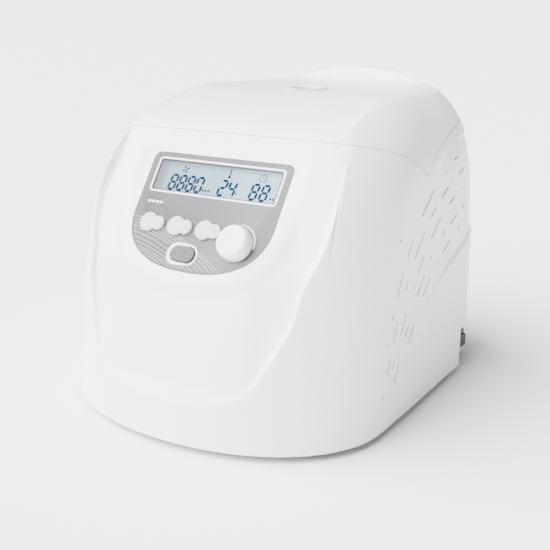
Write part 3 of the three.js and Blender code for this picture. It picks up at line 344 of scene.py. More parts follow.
SEAM = np.vstack([
    [(-200, 226.2)], bend((106, 226.2), (150, 217.5), (171, 198)), bend((171, 198), (176, 193), (181, 198)),
    bend((181, 198), (206, 217), (272, 227)), [(600, 227)],
])

COLUMNS, COLUMN_STEP = 340, 0.4
SIDE_LEVELS = np.r_[np.linspace(FOOT, 200, 400), np.linspace(200, 250, 260)[1:],
                    np.linspace(250, 263.9, 300)[1:], HEIGHT]


def column(share):
    """One line up the body: up the side, over the edge, and across the top to the sight glass.

    Returns the dense line and the index of its edge."""
    x, y = side_point(SIDE_LEVELS, share)
    strip_y = np.interp(SIDE_LEVELS, line[:, 1], line[:, 0]) + strip_crown(SIDE_LEVELS) * x * x
    in_strip = (SIDE_LEVELS > line[0, 1]) & (SIDE_LEVELS < PAN_HEIGHT) & (y < strip_y) & (y < AXIS)
    wall = PAN_DRAFT * (SIDE_LEVELS - PAN_HEIGHT)
    in_pan = (SIDE_LEVELS >= PAN_HEIGHT - 0.05) & (pan_distance(x, y) < np.maximum(wall, 0))
    inside = np.flatnonzero(in_strip | in_pan)
    last = inside[0] if len(inside) else len(SIDE_LEVELS) - 1
    side = np.c_[x, y, SIDE_LEVELS][:last + 1]

    edge_x, edge_y, edge_z = side[-1]
    if edge_y < AXIS:
        if edge_z < 249:
            edge_along = np.interp(edge_z, line[:, 1], LINE_STEPS)
        else:
            strip_y, _ = strip_point(np.full(len(LINE_STEPS), edge_x), LINE_STEPS)
            edge_along = np.interp(edge_y, strip_y, LINE_STEPS)
    else:
        edge_along = PAN_START + edge_y - AXIS
    direction = np.array([edge_x, edge_along - PAN_START])
    distance = np.linalg.norm(direction)
    inner = direction / distance * SIGHT_RADIUS + (0, PAN_START)
    way = np.linspace(0, 1, 600)[1:, None]
    plan = (1 - way) * (edge_x, edge_along) + way * inner
    top_y, top_z = strip_point(plan[:, 0], plan[:, 1])
    top = np.c_[plan[:, 0], top_y, top_z]
    gap = side[-1] - top[0]
    top = top + gap * np.exp(-np.linalg.norm(top - top[0], axis=1) / 6)[:, None]

    # just inside the edge the strip dips behind a rounded ridge, less and less towards the lid
    inwards = np.linalg.norm(top - top[0], axis=1)
    slope = np.gradient(top[:, 1:], axis=0)
    slope /= np.linalg.norm(slope, axis=1)[:, None] + 1e-9
    depth = RIDGE_DEPTH * smooth_step(edge_z, 40, 75) * (1 - 0.75 * smooth_step(edge_z, 170, 232))
    depth = depth * (edge_z < PAN_HEIGHT - 4)
    dip = depth * smooth_step(inwards, 0, RIDGE_IN) * (1 - smooth_step(inwards, 16, RIDGE_OUT))
    top[:, 1] += dip * slope[:, 1]
    top[:, 2] -= dip * slope[:, 0]

    whole = np.vstack([side, top])
    steps = steps_along(whole)
    count = int(steps[-1] / COLUMN_STEP)
    even = relax(resample(whole, count), 2.4 + 6 * smooth_step(edge_y, 200, 300))
    return even, int(round(steps[len(side) - 1] / steps[-1] * (count - 1)))


def crowded(count, power, end):
    """Shares 0 to 1 that crowd towards the end (1) or the start (0)."""
    t = np.linspace(0, 1, count + 1)
    return 1 - (1 - t) ** power if end else t ** power


def shell_rows(lines, edges, seam_at, rows_before, rows_after, lid):
    """Picks the points of every column for one shell; a row runs along the edge where the shell has it."""
    grid = []
    crossing = [i for i in range(len(lines))
                if (edges[i] > seam_at[i][0]) != (edges[i - 1] > seam_at[i - 1][0])]
    for i, points in enumerate(lines):
        below, above = seam_at[i]
        start, end = (above, len(points) - 1) if lid else (0, below)
        edge = edges[i]
        away = min(min(abs(i - c), len(lines) - abs(i - c)) for c in crossing)
        fade = math.exp(-away / 9)
        if start + 1 < edge < end - 1:
            split = edge
        elif lid:
            split = start + (end - start) * (0.45 - 0.44 * fade)
        else:
            split = start + (end - start) * (0.45 + 0.54 * fade)
        first = start + (split - start) * crowded(rows_before, 1.7, True)
        second = split + (end - split) * crowded(rows_after, 1.5, False)
        wanted = np.r_[first, second[1:]]
        index = np.arange(len(points))
        grid.append(np.c_[tuple(np.interp(wanted, index, points[:, k]) for k in range(3))])
    return np.array(grid)


def vent_band(points):
    """How far each point moves inwards for the sunken band that sweeps up the side walls round the vents."""
    y, z = points[:, 1], points[:, 2]
    front = np.interp(z, [0, 34, 65, 96, 125, 147, 168, 184, 193, 207, 213, 217],
                      [80, 87, 93, 103, 117, 134, 156, 177, 191, 220, 248, 290])
    lower = np.interp(y, [100, 130, 139, 143, 151, 169, 193, 214, 240, 267, 300, 330],
                      [-60, 10, 42, 53, 64, 87, 99, 109, 118, 127, 134, 138])
    inside = smooth_step(y - front, -3, 3)
    depth = 0.5 + 1.7 * smooth_step(y, 140, 250)
    above = smooth_step(z - lower, -4.5, 1.5)
    side = smooth_step(np.abs(points[:, 0]), 112, 128)
    return depth * inside * above * (1 - smooth_step(y, 296, 322)) * side


# Panel frame: X to the right, Y up the slope, Z out of the face. PANEL_FACE works in millimetres behind
# the front, PANEL in the metres of the object.
PANEL_TURN = Matrix.Rotation(math.pi / 2 - PANEL_LEAN, 4, "X")
PANEL_FACE = Matrix.Translation((0, PANEL_SETBACK, PANEL_TOP)) @ PANEL_TURN
PANEL = Matrix.Translation((0, from_front(PANEL_SETBACK) * MM, PANEL_TOP * MM)) @ PANEL_TURN
PANEL_HALF, PANEL_STRAIGHT, PANEL_ROUND, PANEL_CORNER = 66.0, 50.0, 47.0, 6.0


def panel_outline(grow=0.0, steps=48):
    """Outline of the control panel in its own frame, grown outwards, in millimetres."""
    half, corner, depth = PANEL_HALF + grow, PANEL_CORNER + grow, PANEL_ROUND + grow
    points = []
    for start, side in ((0, 1), (math.pi / 2, -1)):
        for t in np.linspace(start, start + math.pi / 2, 9):
            points.append((side * (half - corner) + corner * math.cos(t),
                           grow - corner + corner * math.sin(t)))
    for t in np.linspace(math.pi, 2 * math.pi, steps):
        across = math.cos(t)
        points.append((half * math.copysign(abs(across) ** (2 / 2.4), across),
                       -PANEL_STRAIGHT - depth * abs(math.sin(t)) ** (2 / 2.4)))
    return points


def outline_distance(points, outline):
    """Signed distance in plan to a closed outline: positive outside."""
    a = np.array(outline)
    b = np.roll(a, -1, axis=0)
    best = np.full(len(points), 1e9)
    crossings = np.zeros(len(points), int)
    for p, q in zip(a, b):
        edge = q - p
        t = np.clip(((points - p) @ edge) / max(edge @ edge, 1e-9), 0, 1)
        best = np.minimum(best, np.linalg.norm(points - p - t[:, None] * edge, axis=1))
        spans = (p[1] > points[:, 1]) != (q[1] > points[:, 1])
        with np.errstate(divide="ignore", invalid="ignore"):
            at = p[0] + (points[:, 1] - p[1]) * edge[0] / edge[1]
        crossings += spans & (points[:, 0] < at)
    return np.where(crossings % 2 == 1, -best, best)


def scoop(points):
    """Sinks the strip round the control panel to the panel's plane, with a soft lip."""
    local = (np.c_[points, np.ones(len(points))] @ np.array(PANEL_FACE.inverted().transposed()))[:, :3]
    x, y, z = local.T
    near = np.flatnonzero((np.abs(x) < 100) & (y < 30) & (y > -130) & (np.abs(z) < 25))
    where = local[near]
    distance = outline_distance(where[:, :2], panel_outline())
    lip = np.where(where[:, 1] > -20, 15.0, 19.0)
    share = smooth_step(distance, 2.5, lip)
    keep = share ** 1.3
    local[near, 2] = where[:, 2] * keep
    lifted = np.c_[local, np.ones(len(local))] @ np.array(PANEL_FACE.transposed())
    result = points.copy()
    result[near] = lifted[near, :3]
    return result


def shell(name, grid):
    """One shell: a flat grid primitive laid onto the grid of points, closed round and given its wall."""
    columns, rows = grid.shape[:2]
    deselect()
    bpy.ops.mesh.primitive_grid_add(x_subdivisions=columns, y_subdivisions=rows - 1, size=2)
    piece = started(name)
    flat = coordinates(piece)
    i = np.rint((flat[:, 0] + 1) / 2 * columns).astype(int) % columns
    j = np.rint((flat[:, 1] + 1) / 2 * (rows - 1)).astype(int)
    put_coordinates(piece, (grid[i, j] - (0, DEPTH / 2, 0)) * MM)
    recalculate(piece)
    face = max(piece.data.polygons, key=lambda f: f.center.x)
    if face.normal.x < 0:
        activate(piece)
        edit_all()
        bpy.ops.mesh.flip_normals()
        leave_edit()
    modify(piece, "SOLIDIFY", thickness=SHELL_WALL * MM, offset=-1, use_quality_normals=True)
    return piece


# ---- housing and lid shells ------------------------------------------------------------------------

# The columns stand closer together where they cross the creases at the front corners.
turns = np.linspace(0, 1, 4001)
crowding = 1 + sum(1.5 * np.exp(-((turns - corner) / 0.035) ** 2) for corner in (0.113, 0.237))
crowding += sum(1.2 * np.exp(-((turns - corner) / 0.01) ** 2) for corner in (0.391, 0.959))
SHARES = np.interp(np.arange(COLUMNS) / COLUMNS, np.cumsum(crowding) / crowding.sum(), turns)

columns, edges = zip(*(column(share) for share in SHARES))
surface = scoop(np.vstack(columns))
surface[:, 0] -= np.sign(surface[:, 0]) * vent_band(surface)
crest = smooth_step(surface[:, 1], CREST_FROM, CREST_TO) * np.maximum(0, surface[:, 2] - 250)
surface[:, 2] -= crest * CREST_SHARE * smooth_step(np.abs(surface[:, 0]) / 96, 0.0, 1.25)
columns = np.split(surface, np.cumsum([len(points) for points in columns])[:-1])

seam_at = []
for points in columns:
    over = points[:, 2] - seam_height(points[:, 0], points[:, 1])
    above = int(np.argmax(over > 0))
    crossing = above - over[above] / (over[above] - over[above - 1])
    half_gap = SEAM_GAP / 2 / np.linalg.norm(points[above] - points[above - 1])
    seam_at.append((crossing - half_gap, crossing + half_gap))

housing = shell("housing_shell", shell_rows(columns, edges, seam_at, 32, 78, False))
lid = shell("lid_cover", shell_rows(columns, edges, seam_at, 36, 40, True))


def on_panel(piece):
    """Lays a piece that was made flat in millimetres of the panel's own frame onto the panel."""
    piece.matrix_world = PANEL
    return settle(piece)


# Side vents: distance behind the front, height, length, backward lean in degrees.
VENTS = [(99, 35, 5, 24), (123, 48, 18, 26), (116, 57, 9, 16), (107, 58, 12, 21), (104, 77, 4, 19),
         (149, 73, 17, 36), (139, 77, 11, 37), (132, 85, 18, 29), (118, 84, 17, 24), (112, 97, 5, 25),
         (177, 104, 20, 48), (164, 108, 20, 43), (150, 111, 6, 31), (136, 116, 9, 32),
         (123, 119, 21, 27), (163, 126, 16, 44), (185, 127, 5, 58), (159, 143, 27, 47),
         (140, 144, 14, 36), (200, 120, 3, 54), (219, 128, 19, 64), (257, 142, 3, 60),
         (247, 139, 4, 58), (212, 142, 7, 62), (234, 149, 17, 70), (194, 150, 27, 58),
         (187, 164, 13, 59), (176, 174, 33, 58), (257, 156, 8, 74), (229, 166, 13, 70),
         (214, 176, 19, 68), (252, 172, 3, 66), (230, 182, 3, 60), (218, 192, 3, 60),
         (253, 187, 17, 76), (243, 199, 10, 76)]


def vent_slot(name, setback, height, length, lean):
    """A slot with round ends, long enough to pass through both side walls."""
    radius = min(1.2, length / 2)
    deselect()
    bpy.ops.mesh.primitive_cylinder_add(vertices=12, radius=radius * MM, depth=300 * MM,
                                        rotation=(0, math.pi / 2, 0))
    piece = settle(started(name))
    points = coordinates(piece)
    points[:, 2] += np.where(points[:, 2] > 0, 1, -1) * (length / 2 - radius) * MM
    put_coordinates(piece, points)
    piece.rotation_euler = (-math.radians(lean), 0, 0)
    piece.location = (0, from_front(setback) * MM, height * MM)
    return settle(piece)


POCKET = dict(half=55, low=12, high=60, floor=353)
STEP = dict(floor=131, front=262, rear=322, high=44)
INLET_X, INLET_Z = -22, 36
HINGE_X, HINGE_HALF, PAD = 24, 12.5, 348.5
BED_REACH, BED_NEAR, BED_FAR = 15.5, 345.2, 348.4


def hinge_pockets():
    return [box("hinge_pocket", (side * HINGE_X - HINGE_HALF, from_front(PAD), 202.5),
                (side * HINGE_X + HINGE_HALF, 200, 240.5)) for side in (-1, 1)]


def opening(name, outline, low=-9, high=9):
    return on_panel(plate(name, outline, low, high))


PANEL_HOLE = opening("panel_hole", panel_outline(0.3, 96))
cutters = [PANEL_HOLE] + [vent_slot("slot", *size) for size in VENTS] + hinge_pockets()
cutters.append(box("step_space", (STEP["floor"], from_front(STEP["front"]), -5),
                   (160, from_front(STEP["rear"]), STEP["high"])))
cutters.append(box("rear_space", (-POCKET["half"], from_front(POCKET["floor"]), POCKET["low"]),
                   (POCKET["half"], 200, POCKET["high"])))
deselect()
bpy.ops.mesh.primitive_cylinder_add(vertices=20, radius=1.6 * MM, depth=24 * MM,
                                    rotation=(0, math.pi / 2, 0),
                                    location=(0.1405, from_front(121) * MM, 0.155))
cutters.append(settle(started("release_hole")))
carve(housing, cutters)
carve(lid, hinge_pockets())


def lined_pocket(name, low, high, wall, open_side, holes=()):
    """Walls round a sunken pocket in the shell: a box turned into a shell, open towards one side."""
    piece = box(name, low, high)
    edit_faces(piece, open_side)
    bpy.ops.mesh.delete(type="FACE")
    leave_edit()
    modify(piece, "SOLIDIFY", thickness=wall * MM, offset=1)
    plan = [side_point(25.0, share) for share in np.linspace(0, 1, 144, endpoint=False)]
    within = plate("plan", [(x * 0.9985, (y - DEPTH / 2) * 0.9985) for x, y in plan], 0, 80)
    modify(piece, "BOOLEAN", operation="INTERSECT", object=within, solver="EXACT")
    bpy.data.objects.remove(within)
    if holes:
        carve(piece, list(holes))
    return soften(piece, 0.3)


step_liner = lined_pocket("switch_step", (STEP["floor"], from_front(STEP["front"]), 6),
                          (140.2, from_front(STEP["rear"]), STEP["high"]), 2.0, [(1, 0, 0), (0, 0, -1)],
                          [box("hole", (STEP["floor"] - 6, from_front(282) - 10.5, 14),
                               (STEP["floor"] + 4, from_front(282) + 10.5, 28))])
rear_liner = lined_pocket("rear_pocket", (-POCKET["half"], from_front(POCKET["floor"]), POCKET["low"]),
                          (POCKET["half"], from_front(359.5), POCKET["high"]), 2.0, [(0, 1, 0)],
                          [box("hole", (INLET_X - 13.2, from_front(340), INLET_Z - 17.2),
                               (INLET_X + 13.2, from_front(356), INLET_Z + 17.2))])


def backing_blocks(name, x, reach, near, far, low, high):
    """A left and a right block behind the shell, at x and -x in millimetres, with softened edges."""
    return [soften(box(name, (side * x - reach, from_front(near), low),
                       (side * x + reach, from_front(far), high)), 0.3) for side in (-1, 1)]


hinge_beds = backing_blocks("hinge_bed", HINGE_X, BED_REACH, BED_NEAR, BED_FAR, 200, 226.4)
lid_beds = backing_blocks("lid_hinge_bed", HINGE_X, BED_REACH, BED_NEAR, BED_FAR, 227.6, 243)
catch_blocks = backing_blocks("catch_block", 72, 10, 124.5, 145.5, 223, 231.5)


# ---- control panel ---------------------------------------------------------------------------------

def rounded(half_x, half_y, corner, x=0.0, y=0.0, steps=7):
    """Outline of a rectangle with round corners."""
    points = []
    for turn, sx, sy in ((-0.5, 1, -1), (0, 1, 1), (0.5, -1, 1), (1, -1, -1)):
        for t in np.linspace(turn * math.pi, (turn + 0.5) * math.pi, steps):
            points.append((x + sx * (half_x - corner) + corner * math.cos(t),
                           y + sy * (half_y - corner) + corner * math.sin(t)))
    return points


def disc_outline(x, y, radius, steps=48):
    turns = np.linspace(0, 2 * math.pi, steps, endpoint=False)
    return [(x + radius * math.cos(t), y + radius * math.sin(t)) for t in turns]


KEY_DOWN, KEY_XS, KEY_RADIUS, LOBE_RADIUS, LOBE_STEP = 61.5, (-48.0, -21.0, 6.0), 8.0, 6.0, 9.2
START_X, START_DOWN, START_HALF, START_RADIUS = -6.0, 83.3, 11.0, 6.2
KNOB_X, KNOB_DOWN, KNOB_RADIUS = 39.5, 69.5, 13.5
SIDES = ("left", "middle", "right")


def key_outline(x, grow=0.0, steps=34):
    """Cloud outline of a key: a large circle with a smaller one beside it, with a soft waist."""
    big, small = KEY_RADIUS + grow, LOBE_RADIUS + grow
    touch = (big ** 2 - small ** 2 + LOBE_STEP ** 2) / (2 * LOBE_STEP)
    a, b = math.acos(touch / big), math.pi - math.acos((LOBE_STEP - touch) / small)
    points = [(x + big * math.cos(t), -KEY_DOWN + big * math.sin(t))
              for t in np.linspace(a + 0.06, 2 * math.pi - a - 0.06, steps)]
    points += [(x + LOBE_STEP + small * math.cos(t), -KEY_DOWN + small * math.sin(t))
               for t in np.linspace(-b + 0.08, b - 0.08, steps // 2)]
    return points


def domed(name, outline, bottom, top, crown, softness=0.6):
    """A key cap: a raised outline with a rounded edge and a crowned top face."""
    piece = plate(name, outline, bottom, top)
    edit_faces(piece, [(0, 0, 1)])
    for share in (0.25, 0.5, 0.8, 1.3, 2.0):
        bpy.ops.mesh.inset(thickness=softness * share * MM * 0.8, depth=0)
        bpy.ops.transform.translate(value=(0, 0, crown * MM * 0.22 / (0.6 + share)))
    leave_edit()
    return recalculate(piece)


panel = plate("control_panel_face", panel_outline(0.0, 96), -1.2, 0)
window = plate("window", rounded(57.4, 13.15, 2.0, 0, -19.75), -5, 5)
shaft_hole = plate("shaft_hole", disc_outline(KNOB_X, -KNOB_DOWN, 4), -5, 5)
key_holes = [plate("key_hole", key_outline(x, 0.35), -5, 5) for x in KEY_XS]
start_hole = plate("start_hole", rounded(START_HALF + 0.35, START_RADIUS + 0.35, START_RADIUS + 0.3,
                                         START_X, -START_DOWN), -5, 5)
carve(panel, [window, shaft_hole, start_hole] + key_holes)
on_panel(soften(panel, 0.12, 2, 50))

# A backing behind the panel, so that nothing shows through its gaps.
backing = plate("panel_backing", panel_outline(2.2, 96), -4.6, -1.5)
carve(backing, [plate("window", rounded(56, 11.75, 1.5, 0, -19.75), -6, 5),
                plate("shaft_hole", disc_outline(KNOB_X, -KNOB_DOWN, 4), -6, 5)]
      + [plate("stem_hole", disc_outline(x, -KEY_DOWN, 3.6), -6, 5) for x in KEY_XS]
      + [plate("stem_hole", disc_outline(START_X, -START_DOWN, 3.6), -6, 5)])
on_panel(backing)

glass = plate("display_glass", rounded(57, 12.75, 2.0, 0, -19.75), -1.2, -0.2)
on_panel(soften(glass, 0.2, 2, 50))


def stem(name, x, down, radius=3.0):
    return plate(name, disc_outline(x, -down, radius, 24), -14.1, 0)


keys = []
for side, x in zip(SIDES, KEY_XS):
    cap = domed("key_" + side, key_outline(x), -0.1, 1.2, 0.9)
    keys.append(on_panel(joined("key_" + side, [cap, stem("stem", x, KEY_DOWN)])))
    shade(keys[-1], 60)
start_cap = domed("start_key", rounded(START_HALF, START_RADIUS, START_RADIUS - 0.05, START_X,
                                       -START_DOWN, 12), -0.1, 0.9, 0.7)
start_key = on_panel(joined("start_key", [start_cap, stem("stem", START_X, START_DOWN)]))
shade(start_key, 60)

# The knob: a turned cap with a soft rim and a shallow dished top.
knob = turned("speed_dial", [(3.3, 0.8), (KNOB_RADIUS - 0.4, 0.8), (KNOB_RADIUS, 1.2),
                             (KNOB_RADIUS - 0.05, 6.5), (KNOB_RADIUS - 0.25, 9.2),
                             (KNOB_RADIUS - 0.7, 10.4), (KNOB_RADIUS - 1.5, 11.15),
                             (KNOB_RADIUS - 2.6, 11.5), (KNOB_RADIUS - 4.0, 11.45),
                             (KNOB_RADIUS - 7.0, 11.1), (1.5, 10.9), (0.05, 10.9)],
              (KNOB_X, -KNOB_DOWN), 96, True)
on_panel(knob)
shade(knob, 50)


# Printed marks lie just proud of the panel's face.
def ribbon(name, path, width, low, high, closed=False):
    """A flat band of a given width (or list of widths) along a line of (x, y) points."""
    path = np.array(path, float)
    if closed:
        ahead, behind = np.roll(path, -1, axis=0), np.roll(path, 1, axis=0)
    else:
        ahead = np.vstack([path[1:], 2 * path[-1] - path[-2]])
        behind = np.vstack([2 * path[0] - path[1], path[:-1]])
    along = ahead - behind
    along /= np.linalg.norm(along, axis=1)[:, None]
    across = np.c_[-along[:, 1], along[:, 0]] * (np.broadcast_to(width, len(path))[:, None] / 2)
    if closed:
        inner, outer = sorted((path + across, path - across), key=area)
        return carve(plate(name, outer, low, high), [plate("hole", inner, low - 1, high + 1)])
    return plate(name, np.vstack([path + across, (path - across)[::-1]]), low, high)


def area(points):
    x, y = points[:, 0], points[:, 1]
    return abs(0.5 * np.sum(x * np.roll(y, -1) - y * np.roll(x, -1)))


PRINT = (0.0, 0.05)
white_marks = [ribbon("window_line", rounded(59.3, 14.6, 2.6, 0, -19.6), 1.5, *PRINT, closed=True)]
ring = np.array(rounded(13.2, 7.9, 7.8, -6.6, -83.3, 14))
widths = 1.3 + 1.5 * smooth_step(-ring[:, 0], 2, 18)
white_marks.append(ribbon("start_ring", ring, widths, *PRINT, closed=True))
arc_turns = np.linspace(math.radians(92), math.radians(-8), 30)
arc = [(37.5 + 15.6 * math.cos(t), -68.3 + 15.6 * math.sin(t)) for t in arc_turns]
white_marks.append(ribbon("speed_arc", arc, np.linspace(0.5, 2.2, 30), *PRINT))

waves = []
for start in (57.2, 59.6, 62.5, 65.5, 67.8, 71, 74, 76.8, 79.9, 82.4, 85, 87.5):
    xs = np.linspace(-66, 60, 90)
    ys = -(start + 0.08 * (xs + 66) + (0.0019 + 0.00002 * start) * (xs + 66) ** 2
           + 0.8 * np.sin((xs + 66) / 26 + start / 3))
    inside = outline_distance(np.c_[xs, ys], panel_outline(-1.0)) < 0
    if inside.sum() > 4:
        waves.append(ribbon("wave", np.c_[xs, ys][inside], 0.36, 0.0, 0.03))
name_bar = [plate("type_bar", rounded(1.5, 0.9, 0.3, x, -43.6), 0.0, 0.04)
            for x in (-55.5, -51.5, -47.5, -43.5)]

# ---- display ---------------------------------------------------------------------------------------

SEGMENTS = {"8": "abcdefg", "0": "abcdef", "2": "abged", "4": "fgbc"}
GLASS_FACE = -0.19


def segment_digit(digit, x, top, width, height, slant=0.1, bar=2.2):
    """The lit bars of one seven-segment digit, as flat pieces."""
    gap, half = 0.22, height / 2
    lines = {"a": ((0, 0), (width, 0)), "d": ((0, -height), (width, -height)),
             "g": ((0, -half), (width, -half)), "f": ((0, 0), (0, -half)),
             "e": ((0, -half), (0, -height)), "b": ((width, 0), (width, -half)),
             "c": ((width, -half), (width, -height))}
    made = []
    for key in SEGMENTS[digit]:
        (x0, y0), (x1, y1) = lines[key]
        level = y0 == y1
        span = bar / 2 + gap
        if level:
            pts = [(x0 + gap, y0), (x0 + span, y0 + bar / 2), (x1 - span, y0 + bar / 2), (x1 - gap, y0),
                   (x1 - span, y0 - bar / 2), (x0 + span, y0 - bar / 2)]
        else:
            pts = [(x0, y0 - gap), (x0 + bar / 2, y0 - span), (x0 + bar / 2, y1 + span), (x0, y1 + gap),
                   (x0 - bar / 2, y1 + span), (x0 - bar / 2, y0 - span)]
        placed = [(x + px + slant * (py + height), top + py) for px, py in pts]
        made.append(plate("bar", placed, GLASS_FACE, GLASS_FACE + 0.04))
    return made


lit = []
for text, left, pitch in (("8880", -42.8, 8.5), ("24", 5.0, 8.6), ("88", 34.2, 9.2)):
    for i, digit in enumerate(text):
        lit += segment_digit(digit, left + i * pitch, -18.9, 5.6, 12.4)
MARK = (GLASS_FACE, GLASS_FACE + 0.04)
for x, y, w in ((-7.6, -29.2, 1.1), (-4.8, -29.2, 1.1), (-2.2, -29.2, 1.1), (23.2, -28.2, 0.9),
                (54.6, -29.2, 1.0), (57.0, -29.2, 1.0)):
    lit.append(plate("unit_mark", rounded(w * 0.8, 0.9, 0.3, x - 1.2, y), *MARK))
for turn in (0, 90, 180, 270):
    blade = np.array([(0.5, 0.2), (1.7, 0.9), (3.4, 0.9), (3.2, -0.3), (1.6, -0.6)])
    c, s = math.cos(math.radians(turn + 20)), math.sin(math.radians(turn + 20))
    lit.append(plate("fan_blade", blade @ np.array([(c, s), (-s, c)]) + (-31.5, -13.2), *MARK))
lit.append(plate("fan_hub", disc_outline(-31.5, -13.2, 0.55, 16), *MARK))
lit.append(plate("thermometer_tube", rounded(0.55, 3.0, 0.5, 11.2, -11.6), *MARK))
lit.append(plate("thermometer_bulb", disc_outline(11.2, -15.4, 1.3, 20), *MARK))
lit.append(ribbon("clock_ring", disc_outline(41.5, -13.2, 3.1, 40), 0.7, *MARK, closed=True))
lit.append(plate("clock_hand", rounded(0.3, 1.1, 0.2, 41.5, -12.2), *MARK))
lit.append(plate("clock_hand", rounded(0.9, 0.3, 0.2, 42.2, -13.3), *MARK))
for mark in lit + white_marks + waves + name_bar:
    on_panel(mark)
lit_marks = joined("display_marks", lit)
print_marks = joined("panel_white_print", white_marks + name_bar)
wave_marks = joined("panel_wave_lines", waves)


# ---- sight glass and the lid's inside --------------------------------------------------------------

sight_ring = shade(turned("sight_glass_frame", [(13.6, 249), (15.7, 249), (15.7, 252.3), (18.0, 252.3),
                                                (18.45, 252.5), (18.5, 252.8), (18.1, 253.1),
                                                (15.2, 253.1), (14.3, 252.8), (13.6, 252.0),
                                                (13.6, 249.02)], sides=96, loop=True), 40)
sight_pane = shade(turned("sight_pane", [(17.7, 245.7), (17.7, 247.7), (17.5, 247.9)], sides=72), 40)
lid_inside = shade(turned("lid_inside", [(18, 195.6), (62, 195.6), (64, 196.2), (66, 195.6),
                                         (100.2, 195.6), (101, 196.4), (101, 209.2), (100.6, 209.6),
                                         (98.9, 209.6), (98.5, 209.2), (98.5, 198.1), (20, 198.1),
                                         (20, 248.4), (18, 248.4), (18, 195.62)], sides=128, loop=True),
                   40)
posts = [turned("post", [(5, 197.2), (5, 248), (4.6, 248.4)],
                (75 * math.cos(a), from_front(AXIS) + 75 * math.sin(a)), 28)
         for a in (0, math.pi / 2, math.pi)]
lid_inside = shade(joined("lid_inside", [lid_inside] + posts), 40)

# ---- chamber and rotor -----------------------------------------------------------------------------

bowl = shade(turned("chamber_bowl_fine", [(16, 128), (82, 128), (86, 128.6), (90, 130.4), (93.5, 134),
                                          (95.2, 137.6), (95.6, 140), (95.6, 189.3), (100, 189.3),
                                          (100, 190.9), (95.2, 190.9), (94.4, 190.6), (94, 189.8),
                                          (94, 140.6), (93.4, 137.6), (91.6, 134.4), (89, 131.6),
                                          (85.6, 130.1), (83, 129.6), (16, 129.6), (16, 128.02)],
                    sides=160, loop=True), 35)
seal = shade(turned("rim_seal", [(94.6, 191.2), (99.4, 191.2), (99.5, 192), (98.9, 194.2), (98, 195.1),
                                 (96.2, 195.1), (95.2, 194.2), (94.5, 192), (94.6, 191.22)], sides=160,
                    loop=True), 50)
boot = shade(turned("shaft_cuff", [(7.5, 126), (15.7, 126), (15.7, 129.9), (20, 129.9), (19.6, 131.2),
                                   (18, 132.6), (14, 132.6), (13, 131.7), (11, 131.7), (10, 132.6),
                                   (7.5, 132.6), (7.5, 126.02)], sides=64, loop=True), 40)

ROTOR_RINGS = [(5.3, 146), (86.4, 146), (87, 146.6), (87, 159.4), (86.4, 160), (84.4, 160), (84, 159.6),
               (84, 154.2), (83.8, 154), (16.6, 154), (16, 154.6), (16, 159.4), (15.4, 160), (5.3, 160),
               (5.3, 146.02)]
disc = turned("slotted_rotor", ROTOR_RINGS, sides=192, loop=True)
slots = []
for i in range(24):
    deselect()
    bpy.ops.mesh.primitive_cube_add(size=1, location=(0.0516, 0, 0.154), scale=(0.0592, 0.0022, 0.007))
    slot = settle(started("slot"))
    slot.location = (0, from_front(AXIS) * MM, 0)
    slot.rotation_euler = (0, 0, math.tau * i / 24)
    slots.append(settle(slot))
carve(disc, slots)
soften(disc, 0.15, 2, 50)
gasket = shade(turned("rotor_rim_gasket", [(81.2, 154.3), (83.7, 154.3), (83.7, 158.6), (83.3, 159),
                                           (81.6, 159), (81.2, 158.6), (81.2, 154.32)], sides=160,
                      loop=True), 50)
cover = shade(turned("rotor_lid", [(6.0, 160.3), (86.1, 160.3), (86.5, 160.7), (86.5, 161.6),
                                   (85.9, 162.3), (84.6, 162.8), (82, 162.8), (81, 162.5), (79, 162.5),
                                   (78, 162.8), (26, 162.8), (24, 162.9), (18.5, 164.6), (17.4, 164.8),
                                   (6.0, 164.8), (6.0, 160.32)], sides=160, loop=True), 35)
nut = turned("locking_nut", [(5.3, 165.1), (14.4, 165.1), (15, 165.7), (15, 179.6), (14.4, 181.2),
                             (13.2, 182.0), (11.5, 182.05), (8, 181.6), (5.6, 181.5), (5.3, 181.4),
                             (5.3, 165.12)], sides=96, loop=True)
flutes = []
for i in range(8):
    a = math.tau * i / 8
    flutes.append(turned("flute", [(2.6, 169.1), (2.6, 184)],
                         (16.2 * math.cos(a), from_front(AXIS) + 16.2 * math.sin(a)), 28))
carve(nut, flutes)
soften(nut, 0.25, 2, 45)
nut_plug = turned("nut_plug", [(5.2, 178.5), (5.2, 181.1), (4.9, 181.5)], sides=40)
nut = shade(joined("locking_nut", [nut, nut_plug]), 45)
shaft = shade(turned("drive_shaft", [(4.6, 80), (5, 80.4), (5, 172.5), (4.4, 173.1)], sides=64), 40)
feet = []
for corner, x, y in (("front_left", -104, 64), ("front_right", 104, 64), ("rear_left", -104, 300),
                     ("rear_right", 104, 300)):
    feet.append(turned("rubber_foot_" + corner, [(3.2, 1.0), (3.4, 0.2), (3.8, 0.0), (10.5, 0),
                                                 (11.4, 0.35), (12, 1.3), (12, 5.9), (11.4, 6.6)],
                       (x, from_front(y)), 72))
    shade(feet[-1], 40)

# ---- materials -------------------------------------------------------------------------------------

def new_group(name, inputs, outputs):
    """An empty shader node group with named number inputs and named outputs."""
    group = bpy.data.node_groups.new(name, "ShaderNodeTree")
    for label, value in inputs:
        socket = group.interface.new_socket(name=label, in_out="INPUT", socket_type="NodeSocketFloat")
        socket.default_value = value
    for label, kind in outputs:
        group.interface.new_socket(name=label, in_out="OUTPUT", socket_type=kind)
    return group, group.nodes.new("NodeGroupInput"), group.nodes.new("NodeGroupOutput")


